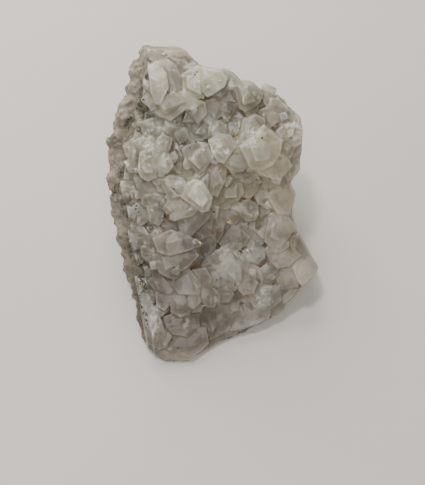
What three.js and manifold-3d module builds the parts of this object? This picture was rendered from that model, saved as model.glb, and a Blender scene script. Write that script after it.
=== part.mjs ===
// A hand-sized specimen of apophyllite: a mass of intergrown crystals on a knobbly skin of chalcedony.
// Units are millimetres and +Z is up. The part rests on z = 0, its origin under the middle of its box.
//
// The part frame is x, y, z. The face frame is u (right), v (up the face) and w (out of the face): the
// crystal face leans back from level by FACE_TILT, and its origin is FACE_HEIGHT above the table.
// Places on the face are given on a square grid, x to the right and y down, as they appear to an eye
// that is EYE above the face, so a place that is deeper in lies further out.

import * as THREE from "three";
import { ConvexGeometry } from "three/addons/geometries/ConvexGeometry.js";
import { mergeVertices } from "three/addons/utils/BufferGeometryUtils.js";
import Module from "manifold-3d";

const wasm = await Module();
wasm.setup();

const DEG = Math.PI / 180;

// ---- driving dimensions -------------------------------------------------------------------------

const FACE_TILT = 28 * DEG;
const FACE_HEIGHT = 24.5; // of the origin of the face above the table
const EYE = 230; // how far the eye is from the face
const GRID = 0.285; // one step of the grid
const GRID_X = 213; // where the origin of the face lies on the grid
const GRID_Y = 203.4;
const EYE_Y = 242.5; // the row of the grid that the eye looks straight at

const OVERLAP = 1.2; // how many times its own size a crystal's outline spreads under its neighbours
const OVERLAP_ABOVE = 1.5; // and under the one above it, as they lie like scales
const ROOT_DEPTH = 7; // how far a crystal reaches down into the mass it grew from
const ROOT_SET_BACK = 3.4; // how far its root lies up the face from its rim
const ROOT_SHARE = 0.7; // the root's size beside the rim's
const PYRAMID_SLOPE = 60.5 * DEG; // from the c axis to the normal of a pyramid face
const SMALL_ROOT = 6; // how far a small crystal reaches down from its tip
const SIDE_ROOT = 8; // and one on the sides

// The chalcedony skin under the crystals is a wedge: thin at the front edge and thicker at the back.
const SEAM_GAP = 0.3; // between the crystals and the chalcedony
const FLOOR_AT_MIDDLE = 4.5;
const FLOOR_RISE = 0.12; // per mm towards the back
const BACK = 33; // where it starts on the far side
const CORNER = 30; // and at the corner between the left side and the far side
const LEFT_FOOT = 20.5; // and low down on the left side

const FAR = 90; // well outside the specimen
const SIDE_HEIGHTS = [7, 15, 23, 31]; // of the rows of crystals and of knobs round the sides
const SIDE_STEPS = 5; // how many of them a row has

// ---- frames and small tools ---------------------------------------------------------------------

const faceToPart = new THREE.Matrix4()
  .makeRotationX(FACE_TILT)
  .setPosition(0, 0, FACE_HEIGHT);

const point3 = (x, y, z) => new THREE.Vector3(x, y, z);

// A point of the part, from its apparent place on the grid and its true depth w.
function seen(x, y, w) {
  const spread = GRID * (1 - w / EYE);
  const eyeV = (GRID_Y - EYE_Y) * GRID;
  return point3(
    (x - GRID_X) * spread,
    eyeV + (EYE_Y - y) * spread,
    w,
  ).applyMatrix4(faceToPart);
}

// A direction that points out of the face, leaning by `tilt` towards `towards` on the face.
function leaning(towards, tilt) {
  return point3(
    Math.sin(tilt) * Math.cos(towards),
    Math.sin(tilt) * Math.sin(towards),
    Math.cos(tilt),
  ).transformDirection(faceToPart);
}

// A repeatable random source (mulberry32), and a number from it that lies between two others.
function randomSource(seed) {
  let state = seed;
  return () => {
    state = (state + 0x6d2b79f5) | 0;
    let t = Math.imul(state ^ (state >>> 15), 1 | state);
    t = (t + Math.imul(t ^ (t >>> 7), 61 | t)) ^ t;
    return ((t ^ (t >>> 14)) >>> 0) / 4294967296;
  };
}

const between = (random, low, high) => low + random() * (high - low);

// A flat list of numbers taken two at a time.
function pairs(numbers) {
  const list = [];
  for (let i = 0; i < numbers.length; i += 2)
    list.push([numbers[i], numbers[i + 1]]);
  return list;
}

function solidOf(geometry) {
  const bare = geometry.clone();
  bare.deleteAttribute("normal");
  bare.deleteAttribute("uv");
  const merged = mergeVertices(bare, 1e-4);
  return new wasm.Manifold(
    new wasm.Mesh({
      numProp: 3,
      vertProperties: new Float32Array(merged.attributes.position.array),
      triVerts: new Uint32Array(merged.index.array),
    }),
  );
}

function geometryOf(solid) {
  const mesh = solid.getMesh();
  return new THREE.BufferGeometry()
    .setAttribute(
      "position",
      new THREE.BufferAttribute(mesh.vertProperties, 3),
    )
    .setIndex(new THREE.BufferAttribute(mesh.triVerts, 1));
}

const hullOf = (points) => solidOf(new ConvexGeometry(points));

// Joins many solids pairwise, which is quicker than one after another.
function joined(solids) {
  let left = solids;
  while (left.length > 1) {
    const next = [];
    for (let i = 0; i < left.length; i += 2)
      next.push(i + 1 < left.length ? left[i].add(left[i + 1]) : left[i]);
    left = next;
  }
  return left[0];
}

// ---- the outer form of the rock -----------------------------------------------------------------

// The upper mass stands proud; the lower mass is a shelf that runs out to a corner on the right.
// Each is a hull of points on the rim of the face (x, y on the grid, and depth) and points of the part.
const upperMass = hullOf([
  ...[
    [144, 47, -1],
    [157, 52, -3],
    [184, 56, -3],
    [200, 72, -4],
    [235, 82, -4],
    [256, 94, -4],
    [274, 104, -5],
    [292, 126, -5],
    [292, 160, -5],
    [282, 190, -6],
    [278, 212, -9],
    [136, 62, -1],
    [132, 84, -1],
    [124, 110, -2],
    [112, 138, -2],
    [111, 187, -2],
    [117, 216, -3],
  ].map((p) => seen(...p)),
  ...[
    [-13, 40, 31],
    [4, 38, 29],
    [15, 34, 23],
    [23, 19, 15],
    [23, 4, 11],
    [19, -8, 8],
    [-24, 32, 25],
    [-29, 21, 13],
    [-29, 6, 8],
    [-8, 38, 13],
    [9, 36, 11],
    [18, 26, 7],
    [-21, 32, 9],
    [-25, 18, 3],
    [-26, 4, 3],
    [-10, 33, 3],
    [9, 31, 3],
    [17, 20, 2],
    [-17, 24, -0.6],
    [-8, 28, -0.6],
    [6, 26, -0.6],
    [12, 17, -0.6],
    [15, 0, -0.6],
    [12, -14, -0.6],
    [-21, 4, -0.6],
    [-19, -14, -0.6],
  ].map((p) => point3(...p)),
]);

const lowerMass = hullOf([
  ...[
    [144, 339, -4],
    [149, 350, -5],
    [167, 358, -4],
    [185, 360, -3.6],
    [195, 356, -4.2],
    [204, 344, -6],
    [231, 329, -7],
    [268, 320, -9],
    [290, 300, -10],
    [303, 284, -10],
    [306, 272, -9],
    [296, 244, -9],
    [284, 218, -9],
    [118, 221, -3],
    [127, 252, -3],
    [133, 291, -3.5],
  ].map((p) => seen(...p)),
  ...[
    [-14, -35, 1.2],
    [-6, -36.5, 1.2],
    [7, -28, 1.5],
    [17, -20, 1.8],
    [21, -12, 3],
    [18, 0, 3],
    [-21, -22, 2],
    [-26, 0, 4],
    [-13, -28, -0.6],
    [-5, -28, -0.6],
    [12, -16, -0.6],
    [12, 2, -0.6],
    [-19, -8, -0.6],
  ].map((p) => point3(...p)),
]);

const rock = upperMass.add(lowerMass);

// ---- where the crystals end and the chalcedony begins -------------------------------------------

// The seam down the left side, on the grid, from the top to the bottom.
const SEAM = pairs([
  152, 0, 149, 52, 147, 66, 142, 86, 141, 108, 134, 130, 127, 152, 122, 178,
  122, 196, 129, 218, 131, 245, 138, 274, 141, 305, 146, 340, 149, 420,
]);

// A great block that lies beyond a plane.
function beyond(normal, distance) {
  const size = FAR * 4;
  const block = new THREE.BoxGeometry(size, size, size);
  const turn = new THREE.Quaternion().setFromUnitVectors(
    point3(0, 0, 1),
    normal.normalize(),
  );
  block.translate(0, 0, distance + size / 2).applyQuaternion(turn);
  return solidOf(block);
}

// A closed outline drawn out into a long straight bar, half of it on each side of the outline's plane.
function bar(outline) {
  const geometry = new THREE.ExtrudeGeometry(outline, {
    depth: FAR * 2,
    bevelEnabled: false,
    steps: 1,
  });
  return geometry.translate(0, 0, -FAR);
}

// Everything on the crystals' side of the seam, of the floor and of the far side, moved away by `gap`.
function crystalSide(gap) {
  const across = new THREE.Shape();
  across.moveTo(FAR, FAR);
  SEAM.forEach(([x, y]) =>
    across.lineTo((x - GRID_X) * GRID + gap, (GRID_Y - y) * GRID),
  );
  across.lineTo(FAR, -FAR);
  const slab = bar(across).applyMatrix4(faceToPart);

  // The profile from the front to the back, y and z.
  const floor = (y) => FLOOR_AT_MIDDLE + FLOOR_RISE * y + gap;
  const along = new THREE.Shape();
  along.moveTo(-FAR, FAR);
  along.lineTo(-FAR, floor(-FAR));
  along.lineTo(BACK - gap, floor(BACK));
  along.lineTo(BACK + 2.5 - gap, 20);
  along.lineTo(BACK + 4 - gap, 37);
  along.lineTo(FAR, 70);
  along.lineTo(FAR, FAR);
  const profileToPart = new THREE.Matrix4().makeBasis(
    point3(0, 1, 0),
    point3(0, 0, 1),
    point3(1, 0, 0),
  );
  const above = bar(along).applyMatrix4(profileToPart);

  return solidOf(slab)
    .intersect(solidOf(above))
    .subtract(beyond(point3(-0.7, 0.68, -0.2), CORNER - gap))
    .subtract(beyond(point3(-0.92, 0, -0.39), LEFT_FOOT - gap));
}

// ---- the large crystals -------------------------------------------------------------------------

// One a row: the depth of its rim and of its end face, where that face is centred, and its outline.
const LARGE = [
  // top left
  [0.5, 4.5, [168, 57], [149, 50, 185, 49.5, 196, 65, 182, 79, 150, 60]],
  [4.5, 8, [159, 84], [150, 70, 157, 66, 165, 76, 169, 90, 161, 104, 155, 103, 151, 92]],
  [3.5, 6, [172, 77], [162, 66, 168, 63, 176, 68, 182, 79, 181, 89, 172, 92, 166, 84]],
  [3.5, 8, [172, 101], [147, 101, 156, 92, 176, 88, 188, 94, 193, 101, 171, 120, 160, 116]],
  // top
  [3.5, 7.5, [195, 84], [183, 77, 197, 65, 206, 67, 207, 90, 203, 98, 192, 97, 184, 90]],
  [3.2, 7.8, [214, 84], [202, 90, 203, 68, 221, 72, 225, 80, 224, 87, 208, 97]],
  [2, 5.5, [230, 80], [220, 72, 229, 71, 238, 77, 242, 84, 239, 89, 225, 90, 221, 84]],
  [2.5, 7, [248, 97], [236, 87, 242, 82, 253, 82.5, 260.5, 94, 259, 103, 246, 112, 240, 108]],
  [-0.5, 3.5, [270, 94], [262, 91, 267, 87, 277.5, 89, 270, 109, 265, 105]],
  [1.5, 4.5, [226, 98], [212, 98, 222, 90, 232, 89, 239, 94, 241, 104, 236, 109, 214, 104]],
  [2.5, 5.5, [214, 110], [206, 103, 214, 101, 221, 106, 223, 115, 215, 120, 207, 115]],
  [2.2, 5, [226, 112], [220, 107, 228, 105, 233, 111, 230, 119, 223, 120]],
  [3, 7, [199, 113], [189, 114, 190, 108, 196, 102, 204, 105, 207, 114, 198, 125]],
  // upper middle
  [0.5, 3.2, [176, 130], [158, 119, 186, 116, 193, 123, 194, 135, 188, 143, 176, 147, 165, 141]],
  [1.8, 4.8, [203, 131], [192, 134, 194, 124, 203, 121, 210, 128, 208, 138, 199, 142]],
  [2.8, 6.4, [217, 131], [208, 133, 210, 127, 218, 122, 225, 126, 227, 134, 220, 141, 212, 140]],
  [3.5, 8, [222, 149], [211, 142, 219, 136, 229, 138, 234, 147, 224, 163, 218, 161, 212, 152]],
  [3, 7, [202, 159], [185, 160, 186, 151, 198, 145, 208, 147, 214, 154, 205, 171, 199, 174]],
  [1.8, 4.2, [195, 146], [185, 147, 192, 139, 201, 140, 207, 147, 198, 153, 189, 153]],
  [1, 3.4, [180, 153], [170, 146, 181, 144, 189, 152, 188, 163, 178, 165, 170, 158]],
  [3, 7, [237, 163], [226, 158, 242, 152, 249, 158, 249, 166, 241, 172, 232, 172, 226, 166]],
  [1.5, 4.5, [240, 122], [230, 113, 240, 111, 249, 118, 247, 128, 238, 132, 230, 125]],
  [3.2, 7.5, [254, 129], [241, 130, 245, 121, 255, 117, 263, 121, 265, 130, 250, 149, 243, 141]],
  [4.6, 9.5, [263, 150], [244, 147, 264, 130, 279, 142, 280, 154, 273, 164, 262, 169.5, 251, 168]],
  [1.6, 5.4, [271, 118], [260, 113, 270, 108, 279, 111, 284, 118, 266, 131, 260, 122]],
  [0.8, 4, [285, 107], [274, 104, 280, 102, 287, 106, 289, 113, 281, 118, 274, 112]],
  [1.8, 5.8, [285, 146], [276, 136, 283, 129, 295, 147, 290, 158, 282, 162, 277, 152]],
  // right edge
  [-2, 3.2, [293, 122], [282, 119, 286, 112, 292, 111, 299, 118, 301, 128, 294, 135, 285, 130]],
  [-2, 3.6, [295, 137], [286, 131, 297, 125, 302, 131, 301, 143, 294, 148, 287, 141]],
  [-3, 2.4, [295, 152], [288, 147, 300, 142, 301, 153, 298, 161, 290, 160]],
  [2, 6, [273, 171], [257, 169, 284, 159, 288, 167, 279, 180, 261, 175]],
  [-2.5, 2.4, [292, 168], [283, 160, 291, 158, 298, 161, 301, 170, 288, 181, 283, 174]],
  [-3, 0.6, [279, 181], [262, 176, 291, 177, 292, 182, 287, 187, 264, 183]],
  [-5, 0.6, [282, 197], [270, 195, 283, 184, 295, 194, 289, 214, 277, 214, 271, 204]],
  // under the step
  [1.5, 6, [216, 180], [207, 182, 211, 165, 218, 162, 225, 168, 226, 180, 217, 197, 211, 193]],
  [-0.5, 2.6, [240, 176], [226, 168, 257, 168, 259, 176, 250, 183, 229, 181]],
  [-1.5, 3, [232, 192], [221, 188, 230, 181, 240, 183, 244, 193, 239, 200, 230, 204, 221, 201]],
  [-1.5, 1.8, [218, 201], [207, 204, 208, 197, 222, 195, 227, 202, 211, 210]],
  [-2.5, 1.4, [250, 189], [242, 184, 259, 180, 259, 189, 250, 199, 243, 197]],
  [-4, 0.4, [264, 193], [254, 195, 257, 184, 268, 183, 274, 189, 272, 199, 266, 205, 258, 204]],
  [-3.5, 1, [230, 212], [215, 209, 222, 203, 232, 202, 240, 206, 243, 217, 235, 224]],
  [-3.5, 1.6, [248, 211], [239, 204, 248, 201, 256, 206, 259, 214, 255, 220, 246, 221, 240, 214]],
  [-5, -1.2, [264, 212], [256, 208, 266, 204, 276, 211, 272, 217, 262, 221, 256, 217]],
  // left
  [1.5, 7.6, [163, 161], [154, 168, 155, 153, 166, 150, 173.5, 165, 169, 172, 160, 175]],
  [1.5, 8, [149, 165], [137, 168, 140, 156, 150, 150, 158, 153, 156, 178, 148, 181, 141, 177]],
  [2.5, 7.2, [149, 145], [140, 147, 150, 136.5, 157, 143, 159, 151, 142, 153]],
  [2.5, 6.8, [164, 143], [157, 141, 163, 135, 171, 140, 170, 150, 166, 154, 158, 151]],
  [0.5, 3.8, [132, 151], [125, 147, 133, 141, 141, 147, 141, 157, 133, 161, 126, 156]],
  [0, 3.4, [134, 166], [126, 163, 136, 159, 141, 165, 138, 174, 129, 172]],
  [0.5, 4, [150, 128], [142, 123, 152, 120, 159, 126, 157, 135, 148, 138, 142, 132]],
  [3.5, 7.4, [174, 187], [162, 182, 170, 177, 180, 179, 187, 186, 185, 195, 176, 199, 167, 195]],
  [2.5, 4.8, [151, 198], [142, 194, 161, 187, 167, 207, 160, 213, 149, 210, 142, 204]],
  [0.5, 3, [131, 190], [122, 184, 133, 180, 141, 188, 140, 199, 130, 203, 123, 196]],
  [1.5, 4, [145, 183], [136, 179, 147, 176, 157, 181, 155, 190, 145, 194, 137, 189]],
  // middle left
  [5.2, 10.4, [200, 196], [184, 196, 187, 184, 194, 180, 203, 182, 211, 201, 208, 210, 202, 212]],
  [4, 7.4, [183, 211], [170, 214, 186, 200, 197, 209, 191, 216, 175, 221, 170, 219]],
  [4, 7.2, [174, 205], [163, 209, 170, 199, 181, 195, 187, 199, 168, 215]],
  [2.5, 6, [155, 215], [148, 208, 156, 206, 162, 212, 163, 221, 158, 226, 150, 221]],
  [1, 5.2, [192, 222], [180, 219, 201, 209, 208, 209, 206, 219, 189, 238, 180, 233]],
  [0.5, 3.8, [171, 224], [161, 222, 171, 216, 182, 218, 182, 233, 162, 231]],
  [0.2, 2.8, [138, 215], [129, 208, 140, 204, 149, 211, 148, 222, 138, 227, 130, 220]],
  // lower left
  [1.2, 6.8, [178, 247], [158, 240, 172, 233, 184, 236, 196, 245, 188, 251, 170, 256, 158, 252]],
  [0.6, 5.6, [175, 262], [156, 256, 172, 254, 190, 250, 194, 257, 188, 267, 169, 277, 160, 273]],
  [-0.5, 3.2, [149, 248], [140, 240, 150, 236, 159, 242, 160, 256, 151, 264, 142, 257]],
  [-1, 2.2, [136, 241], [130, 234, 137, 231, 143, 238, 142, 248, 135, 250, 130, 243]],
  [-1.5, 2, [196, 257], [189, 250, 198, 250, 203, 257, 199, 264, 190, 264]],
  [-0.5, 3.2, [161, 284], [150, 281, 159, 275, 175, 289, 169, 295, 157, 293]],
  [-0.5, 4, [186, 284], [172, 283, 180, 275, 190, 273, 197, 283, 200, 295, 179, 294]],
  [-0.5, 3.4, [165, 301], [157, 294, 168, 291, 173, 301, 165, 311, 157, 307]],
  [0, 3.8, [180, 304], [171, 298, 182, 295, 191, 304, 189, 314, 180, 317, 172, 312]],
  [0.5, 4.2, [194, 301], [188, 306, 189, 294, 198, 295, 201, 302, 194, 309]],
  [-1.5, 2.4, [203, 280], [194, 283, 195, 272, 205, 270, 211, 279, 208, 289, 200, 291]],
  [-2, 2.2, [209, 298], [200, 298, 202, 290, 212, 288, 218, 297, 214, 308, 206, 307]],
  [-2.5, 1.2, [224, 296], [216, 291, 226, 288, 232, 294, 229, 302, 219, 303]],
  [-1.8, 1.4, [141, 286], [136, 278, 143, 276, 148, 285, 146, 295, 139, 296]],
  // the pale splinter down the lower left edge
  [-2, 1.8, [150, 320], [141, 297, 148, 299, 162, 322, 164, 334, 154, 349, 145, 322]],
  [-3, 0.6, [163, 339], [157, 331, 165, 330, 170, 337, 166, 347, 158, 350]],
  // lower middle
  [-4, 1, [216, 224], [209, 228, 210, 221, 218, 216, 224, 221, 223, 230, 214, 234]],
  [-5, -1, [226, 241], [217, 236, 226, 231, 233, 238, 231, 246, 222, 249]],
  [-5, -0.8, [239, 238], [229, 240, 230, 231, 240, 229, 248, 237, 245, 246, 235, 249]],
  [-6, -2.2, [256, 239], [247, 234, 257, 231, 265, 237, 262, 245, 252, 248]],
  [-4.5, 0.4, [229, 256], [215, 257, 222, 249, 230, 246, 244, 260, 240, 269, 221, 269, 215, 264]],
  [-3, 0.8, [229, 272], [217, 268, 228, 262, 238, 267, 241, 277, 239, 284, 218, 276]],
  [-5, -0.4, [254, 255], [243, 258, 245, 252, 254, 246, 263, 250, 265, 258, 258, 264]],
  // lower right
  [-5, 1.4, [277, 232], [271, 218, 282, 214, 289.5, 219, 293, 229, 282, 247, 272, 247, 265, 241]],
  [-5, -0.2, [281, 258], [269, 252, 280, 246, 291, 249, 297, 256, 289, 266, 277, 268, 269, 260]],
  [-7, -2, [300, 248], [291, 240, 298.5, 237, 312, 257, 303, 260, 293, 256]],
  [-8.5, -1.6, [307, 270], [295, 268, 302, 258, 311, 257, 318, 267, 317.5, 275, 302, 287, 297, 280]],
  [-5.5, -1.6, [266, 275], [259, 271, 266, 266, 273, 272, 271, 283, 261, 282]],
  [-4.5, -0.6, [246, 284], [236, 286, 237, 276, 246, 273, 256, 283, 253, 293, 243, 295]],
  [-7, -2.6, [287, 277], [277, 270, 288, 266, 298, 275, 297, 286, 286, 290, 278, 283]],
  [-6, -2.8, [263, 297], [249, 294, 261, 286, 276, 288, 281, 300, 270, 309, 254, 307]],
  [-9, -4.6, [290, 294], [279, 291, 292, 286, 301, 288, 296, 297, 284, 304]],
  [-8, -4, [254, 316], [239, 308, 255, 304, 269, 308, 272, 319, 257, 327, 243, 328]],
  [-8, -4, [236, 321], [227, 314, 237, 309, 245, 317, 243, 329, 230, 331]],
  [-9, -5.4, [276, 309], [267, 302, 281, 299, 286, 307, 276, 318, 268, 315]],
  // the broken foot of the face
  [-5, -2.6, [216, 318], [199, 305, 219, 301, 236, 303, 228, 330, 211, 339, 200, 331]],
  [-3.4, -1.2, [182, 346], [158, 352, 167, 334, 181, 328, 201, 331, 207, 344, 185.5, 363, 166, 361]],
  [-3.2, -0.6, [182, 324], [167, 318, 180, 313, 196, 316, 199, 328, 186, 337, 169, 333]],
];

// The outline of the whole face on the grid, which no large crystal reaches beyond.
const EDGE = pairs([
  100, 40, 185, 49.5, 196, 65, 229, 72, 242, 82, 252, 82, 260, 89, 272, 87, 278, 90, 278, 98,
  300, 117, 303, 131, 300, 171, 291, 182, 296, 194, 290, 202, 290, 217, 312, 257, 319, 268,
  310, 282, 302, 287, 279, 314, 244, 330, 231, 332, 204, 347, 196, 360, 186, 364, 167, 362, 100, 345,
]);

function insideEdge(x, y) {
  let inside = false;
  EDGE.forEach(([x0, y0], i) => {
    const [x1, y1] = EDGE[(i + 1) % EDGE.length];
    if (y0 > y !== y1 > y && x < x0 + ((x1 - x0) * (y - y0)) / (y1 - y0))
      inside = !inside;
  });
  return inside;
}

// A point, drawn in towards another until it is inside the outline.
function keptIn(x, y, towardsX, towardsY) {
  let share = 1;
  const at = () => [
    towardsX + (x - towardsX) * share,
    towardsY + (y - towardsY) * share,
  ];
  while (share > 0.3 && !insideEdge(...at())) share -= 0.02;
  return at();
}

// A faceted crystal: a sloping end face inside its rim, and a body that narrows down to its root.
function largeCrystal([rim, top, [endX, endY], outline], random) {
  const endShare = between(random, 0.45, 0.62); // the end face's size beside the rim's
  const slopeX = between(random, -0.18, 0.18);
  const slopeY = between(random, 0, 0.28);
  const ring = pairs(outline).map(([x, y]) =>
    keptIn(
      endX + (x - endX) * OVERLAP,
      endY + (y - endY) * (y < endY ? OVERLAP_ABOVE : OVERLAP),
      endX,
      endY,
    ),
  );
  // The rim is uneven, and dips where it runs under the crystal above.
  const points = ring.map(([x, y]) => {
    const dip = Math.max(0, endY - y) * GRID * 0.3;
    return seen(x, y, rim - 0.6 - dip + between(random, -0.4, 0.4));
  });
  for (let i = 0; i < ring.length; i += 2) {
    const dx = (ring[i][0] - endX) * endShare;
    const dy = (ring[i][1] - endY) * endShare;
    const depth = top + (dx * slopeX + dy * slopeY) * GRID;
    points.push(seen(endX + dx, endY + dy, depth));
  }
  const down = point3(0, ROOT_SET_BACK, -ROOT_DEPTH)
    .transformDirection(faceToPart)
    .setLength(ROOT_DEPTH);
  for (let i = 0; i < 3; i++) {
    const [x, y] = ring[Math.floor((i * ring.length) / 3)];
    const rootX = endX + (x - endX) * ROOT_SHARE;
    const rootY = endY + (y - endY) * ROOT_SHARE;
    points.push(seen(rootX, rootY, rim).add(down));
  }
  return hullOf(points);
}

// The mass behind the large crystals, in terraces: how high each stands, and its outline on the grid.
const TERRACES = [
  [1.8, [
    152, 60, 185, 60, 220, 80, 252, 92, 276, 106, 292, 128, 290, 160,
    258, 168, 215, 166, 186, 200, 150, 196, 140, 150, 148, 100,
  ]],
  [0.2, [130, 150, 160, 140, 205, 170, 205, 205, 180, 225, 142, 225, 126, 200]],
  [-2.4, [135, 205, 200, 205, 196, 250, 214, 290, 190, 312, 152, 306, 138, 268]],
  [-5.4, [
    196, 205, 286, 186, 288, 214, 300, 250, 306, 272,
    290, 296, 250, 316, 205, 312, 190, 260,
  ]],
];
const TERRACE_DEPTH = 12;
const TERRACE_TAPER = 0.94; // the size of its underside beside its top

function terrace([top, outline]) {
  const corners = pairs(outline).flatMap(([x, y]) => {
    const underX = GRID_X + (x - GRID_X) * TERRACE_TAPER;
    const underY = GRID_Y + (y - GRID_Y) * TERRACE_TAPER;
    return [seen(x, y, top), seen(underX, underY, top - TERRACE_DEPTH)];
  });
  return hullOf(corners);
}

// ---- the small crystals -------------------------------------------------------------------------

// Corners of the solid inside a list of planes, each [normal, distance].
function cornersInside(planes) {
  const corners = [];
  const cross = new THREE.Vector3();
  for (let i = 0; i < planes.length; i++)
    for (let j = i + 1; j < planes.length; j++)
      for (let k = j + 1; k < planes.length; k++) {
        const [a, p] = planes[i];
        const [b, q] = planes[j];
        const [c, r] = planes[k];
        const volume = a.dot(cross.crossVectors(b, c));
        if (Math.abs(volume) < 1e-6) continue;
        const corner = new THREE.Vector3()
          .crossVectors(b, c)
          .multiplyScalar(p)
          .addScaledVector(new THREE.Vector3().crossVectors(c, a), q)
          .addScaledVector(new THREE.Vector3().crossVectors(a, b), r)
          .divideScalar(volume);
        if (planes.every(([n, d]) => n.dot(corner) < d + 1e-6))
          corners.push(corner);
      }
  return corners;
}

// A square prism with a four-sided pyramid set across its corners, flat-ended where `blunt` is above 0.
// Its tip is at the origin, its c axis along +Z, and it is a little out of true, as grown crystals are.
function crystalShape(half, blunt, root, random) {
  const uneven = (spread) => between(random, 1 - spread, 1 + spread);
  const cut = blunt * half * Math.tan(PYRAMID_SLOPE) * Math.SQRT1_2;
  const planes = [
    [point3(0, 0, 1), 0],
    [point3(0, 0, -1), root],
  ];
  for (let side = 0; side < 4; side++) {
    const turn = side * Math.PI * 0.5;
    planes.push([
      point3(Math.cos(turn), Math.sin(turn), 0),
      half * uneven(0.15),
    ]);
    const corner = turn + Math.PI / 4;
    const slope = PYRAMID_SLOPE * uneven(0.07);
    planes.push([
      point3(
        Math.sin(slope) * Math.cos(corner),
        Math.sin(slope) * Math.sin(corner),
        Math.cos(slope),
      ),
      Math.cos(slope) * cut * uneven(0.17),
    ]);
  }
  return cornersInside(planes);
}

// A crystal with its tip at a point, its c axis along a direction, turned by `twist` about it.
function crystal(tip, axis, half, twist, blunt, root, random) {
  const up = point3(0, 0, 1);
  const turn = new THREE.Quaternion()
    .setFromUnitVectors(up, axis)
    .multiply(new THREE.Quaternion().setFromAxisAngle(up, twist));
  const corners = crystalShape(half, blunt, root, random);
  return hullOf(corners.map((p) => p.applyQuaternion(turn).add(tip)));
}

// Small crystals in the hollows between the large ones: x, y on the grid, depth and half width.
const SMALL = [
  [169, 130, 4.2, 2.4],
  [183, 137, 4.4, 2.6],
  [160, 178, 4.8, 1.6],
  [207, 174, 5.2, 1.6],
  [237, 147, 5, 1.8],
  [208, 222, 1, 1.8],
  [203, 248, -1.4, 2],
  [244, 230, -2.4, 1.8],
  [250, 270, -2.2, 2],
  [212, 276, -0.6, 1.8],
  [166, 279, 2, 1.6],
];

function smallCrystals() {
  const random = randomSource(11);
  return SMALL.map(([x, y, depth, half]) => {
    const axis = leaning(
      between(random, -120, -40) * DEG,
      between(random, 10, 45) * DEG,
    );
    const twist = random() * Math.PI;
    const blunt = between(random, 0.6, 1.4);
    const tip = seen(x, y, depth);
    return crystal(tip, axis, half, twist, blunt, SMALL_ROOT, random);
  });
}

// The finer crystals along the seam.
function seamCrystals() {
  const random = randomSource(17);
  const solids = [];
  for (let y = 60; y < 330; y += 21) {
    const next = SEAM.findIndex(([, seamY]) => seamY > y);
    const [x0, y0] = SEAM[next - 1];
    const [x1, y1] = SEAM[next];
    const seamX = x0 + ((x1 - x0) * (y - y0)) / (y1 - y0);
    const x = seamX + between(random, 5, 16);
    const depth = between(random, 0, 1.8) + (y > 230 ? -1.6 : 0.6);
    const axis = leaning(random() * Math.PI * 2, between(random, 5, 40) * DEG);
    const half = between(random, 1.2, 2.2);
    const twist = random() * Math.PI;
    const blunt = between(random, 0.5, 1.2);
    const tip = seen(x, y, depth);
    solids.push(crystal(tip, axis, half, twist, blunt, SMALL_ROOT, random));
  }
  return solids;
}

// ---- crystals on the sides ----------------------------------------------------------------------

const rockMesh = new THREE.Mesh(
  geometryOf(rock),
  new THREE.MeshBasicMaterial({ side: THREE.DoubleSide }),
);
rockMesh.updateMatrixWorld(true);
const ray = new THREE.Raycaster();
const UPRIGHT_Y = 2; // the upright line that bearings are taken from

// Where a level line from outside, at a bearing and a height, meets the rock.
function sideAt(bearing, z) {
  const out = point3(Math.cos(bearing), Math.sin(bearing), 0);
  const from = out
    .clone()
    .multiplyScalar(FAR)
    .add(point3(0, UPRIGHT_Y, z));
  ray.set(from, out.clone().negate());
  const hit = ray.intersectObject(rockMesh)[0];
  return hit && { point: hit.point, normal: hit.face.normal.clone() };
}

// Calls `place` at scattered spots round the sides of the rock between two bearings.
function scatterRound(from, to, random, place) {
  for (const z of SIDE_HEIGHTS)
    for (let i = 0; i < SIDE_STEPS; i++) {
      const bearing = from + ((i + random() * 0.9) / SIDE_STEPS) * (to - from);
      const at = sideAt(bearing, z + between(random, -1.6, 1.6));
      if (at) place(at);
    }
}

// The right side and the far side show crystal.
function sideCrystals() {
  const random = randomSource(23);
  const solids = [];
  scatterRound(-50 * DEG, 80 * DEG, random, ({ point, normal }) => {
    const half = between(random, 2.6, 4);
    const wander = point3(random(), random(), random()).subScalar(0.5);
    const axis = normal.addScaledVector(wander, 0.9).normalize();
    const tip = point.addScaledVector(axis, between(random, 0.3, 1.3));
    const twist = random() * Math.PI;
    const blunt = between(random, 0.8, 1.5);
    solids.push(crystal(tip, axis, half, twist, blunt, SIDE_ROOT, random));
  });
  return solids;
}

// ---- the chalcedony -----------------------------------------------------------------------------

// A flattened ball on the chalcedony.
function knob(centre, radius, flat, normal, twist, random) {
  const ball = new THREE.SphereGeometry(radius, 8, 5);
  ball.rotateX(Math.PI / 2).scale(1, between(random, 0.6, 0.8), flat);
  const up = point3(0, 0, 1);
  const turn = new THREE.Quaternion()
    .setFromUnitVectors(up, normal)
    .multiply(new THREE.Quaternion().setFromAxisAngle(up, twist));
  ball.applyQuaternion(turn).translate(centre.x, centre.y, centre.z);
  return solidOf(ball);
}

// Knobs along the rim that shows beside the face: x, y on the grid, depth and radius.
const RIM_KNOBS = [
  [148, 56, -3, 3.6],
  [141, 74, -3.6, 4.6],
  [137, 92, -3.2, 4.2],
  [128, 107, -2.4, 2.6],
  [131, 114, -2.2, 3],
  [124, 130, -3.4, 4],
  [119, 142, -2.4, 3],
  [121, 158, -4, 4.6],
  [118, 182, -3, 4],
  [121, 204, -4, 4.2],
  [127, 228, -4, 3.8],
  [132, 254, -4.6, 4],
  [138, 284, -5, 3.8],
  [145, 316, -5.6, 3.6],
];

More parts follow.
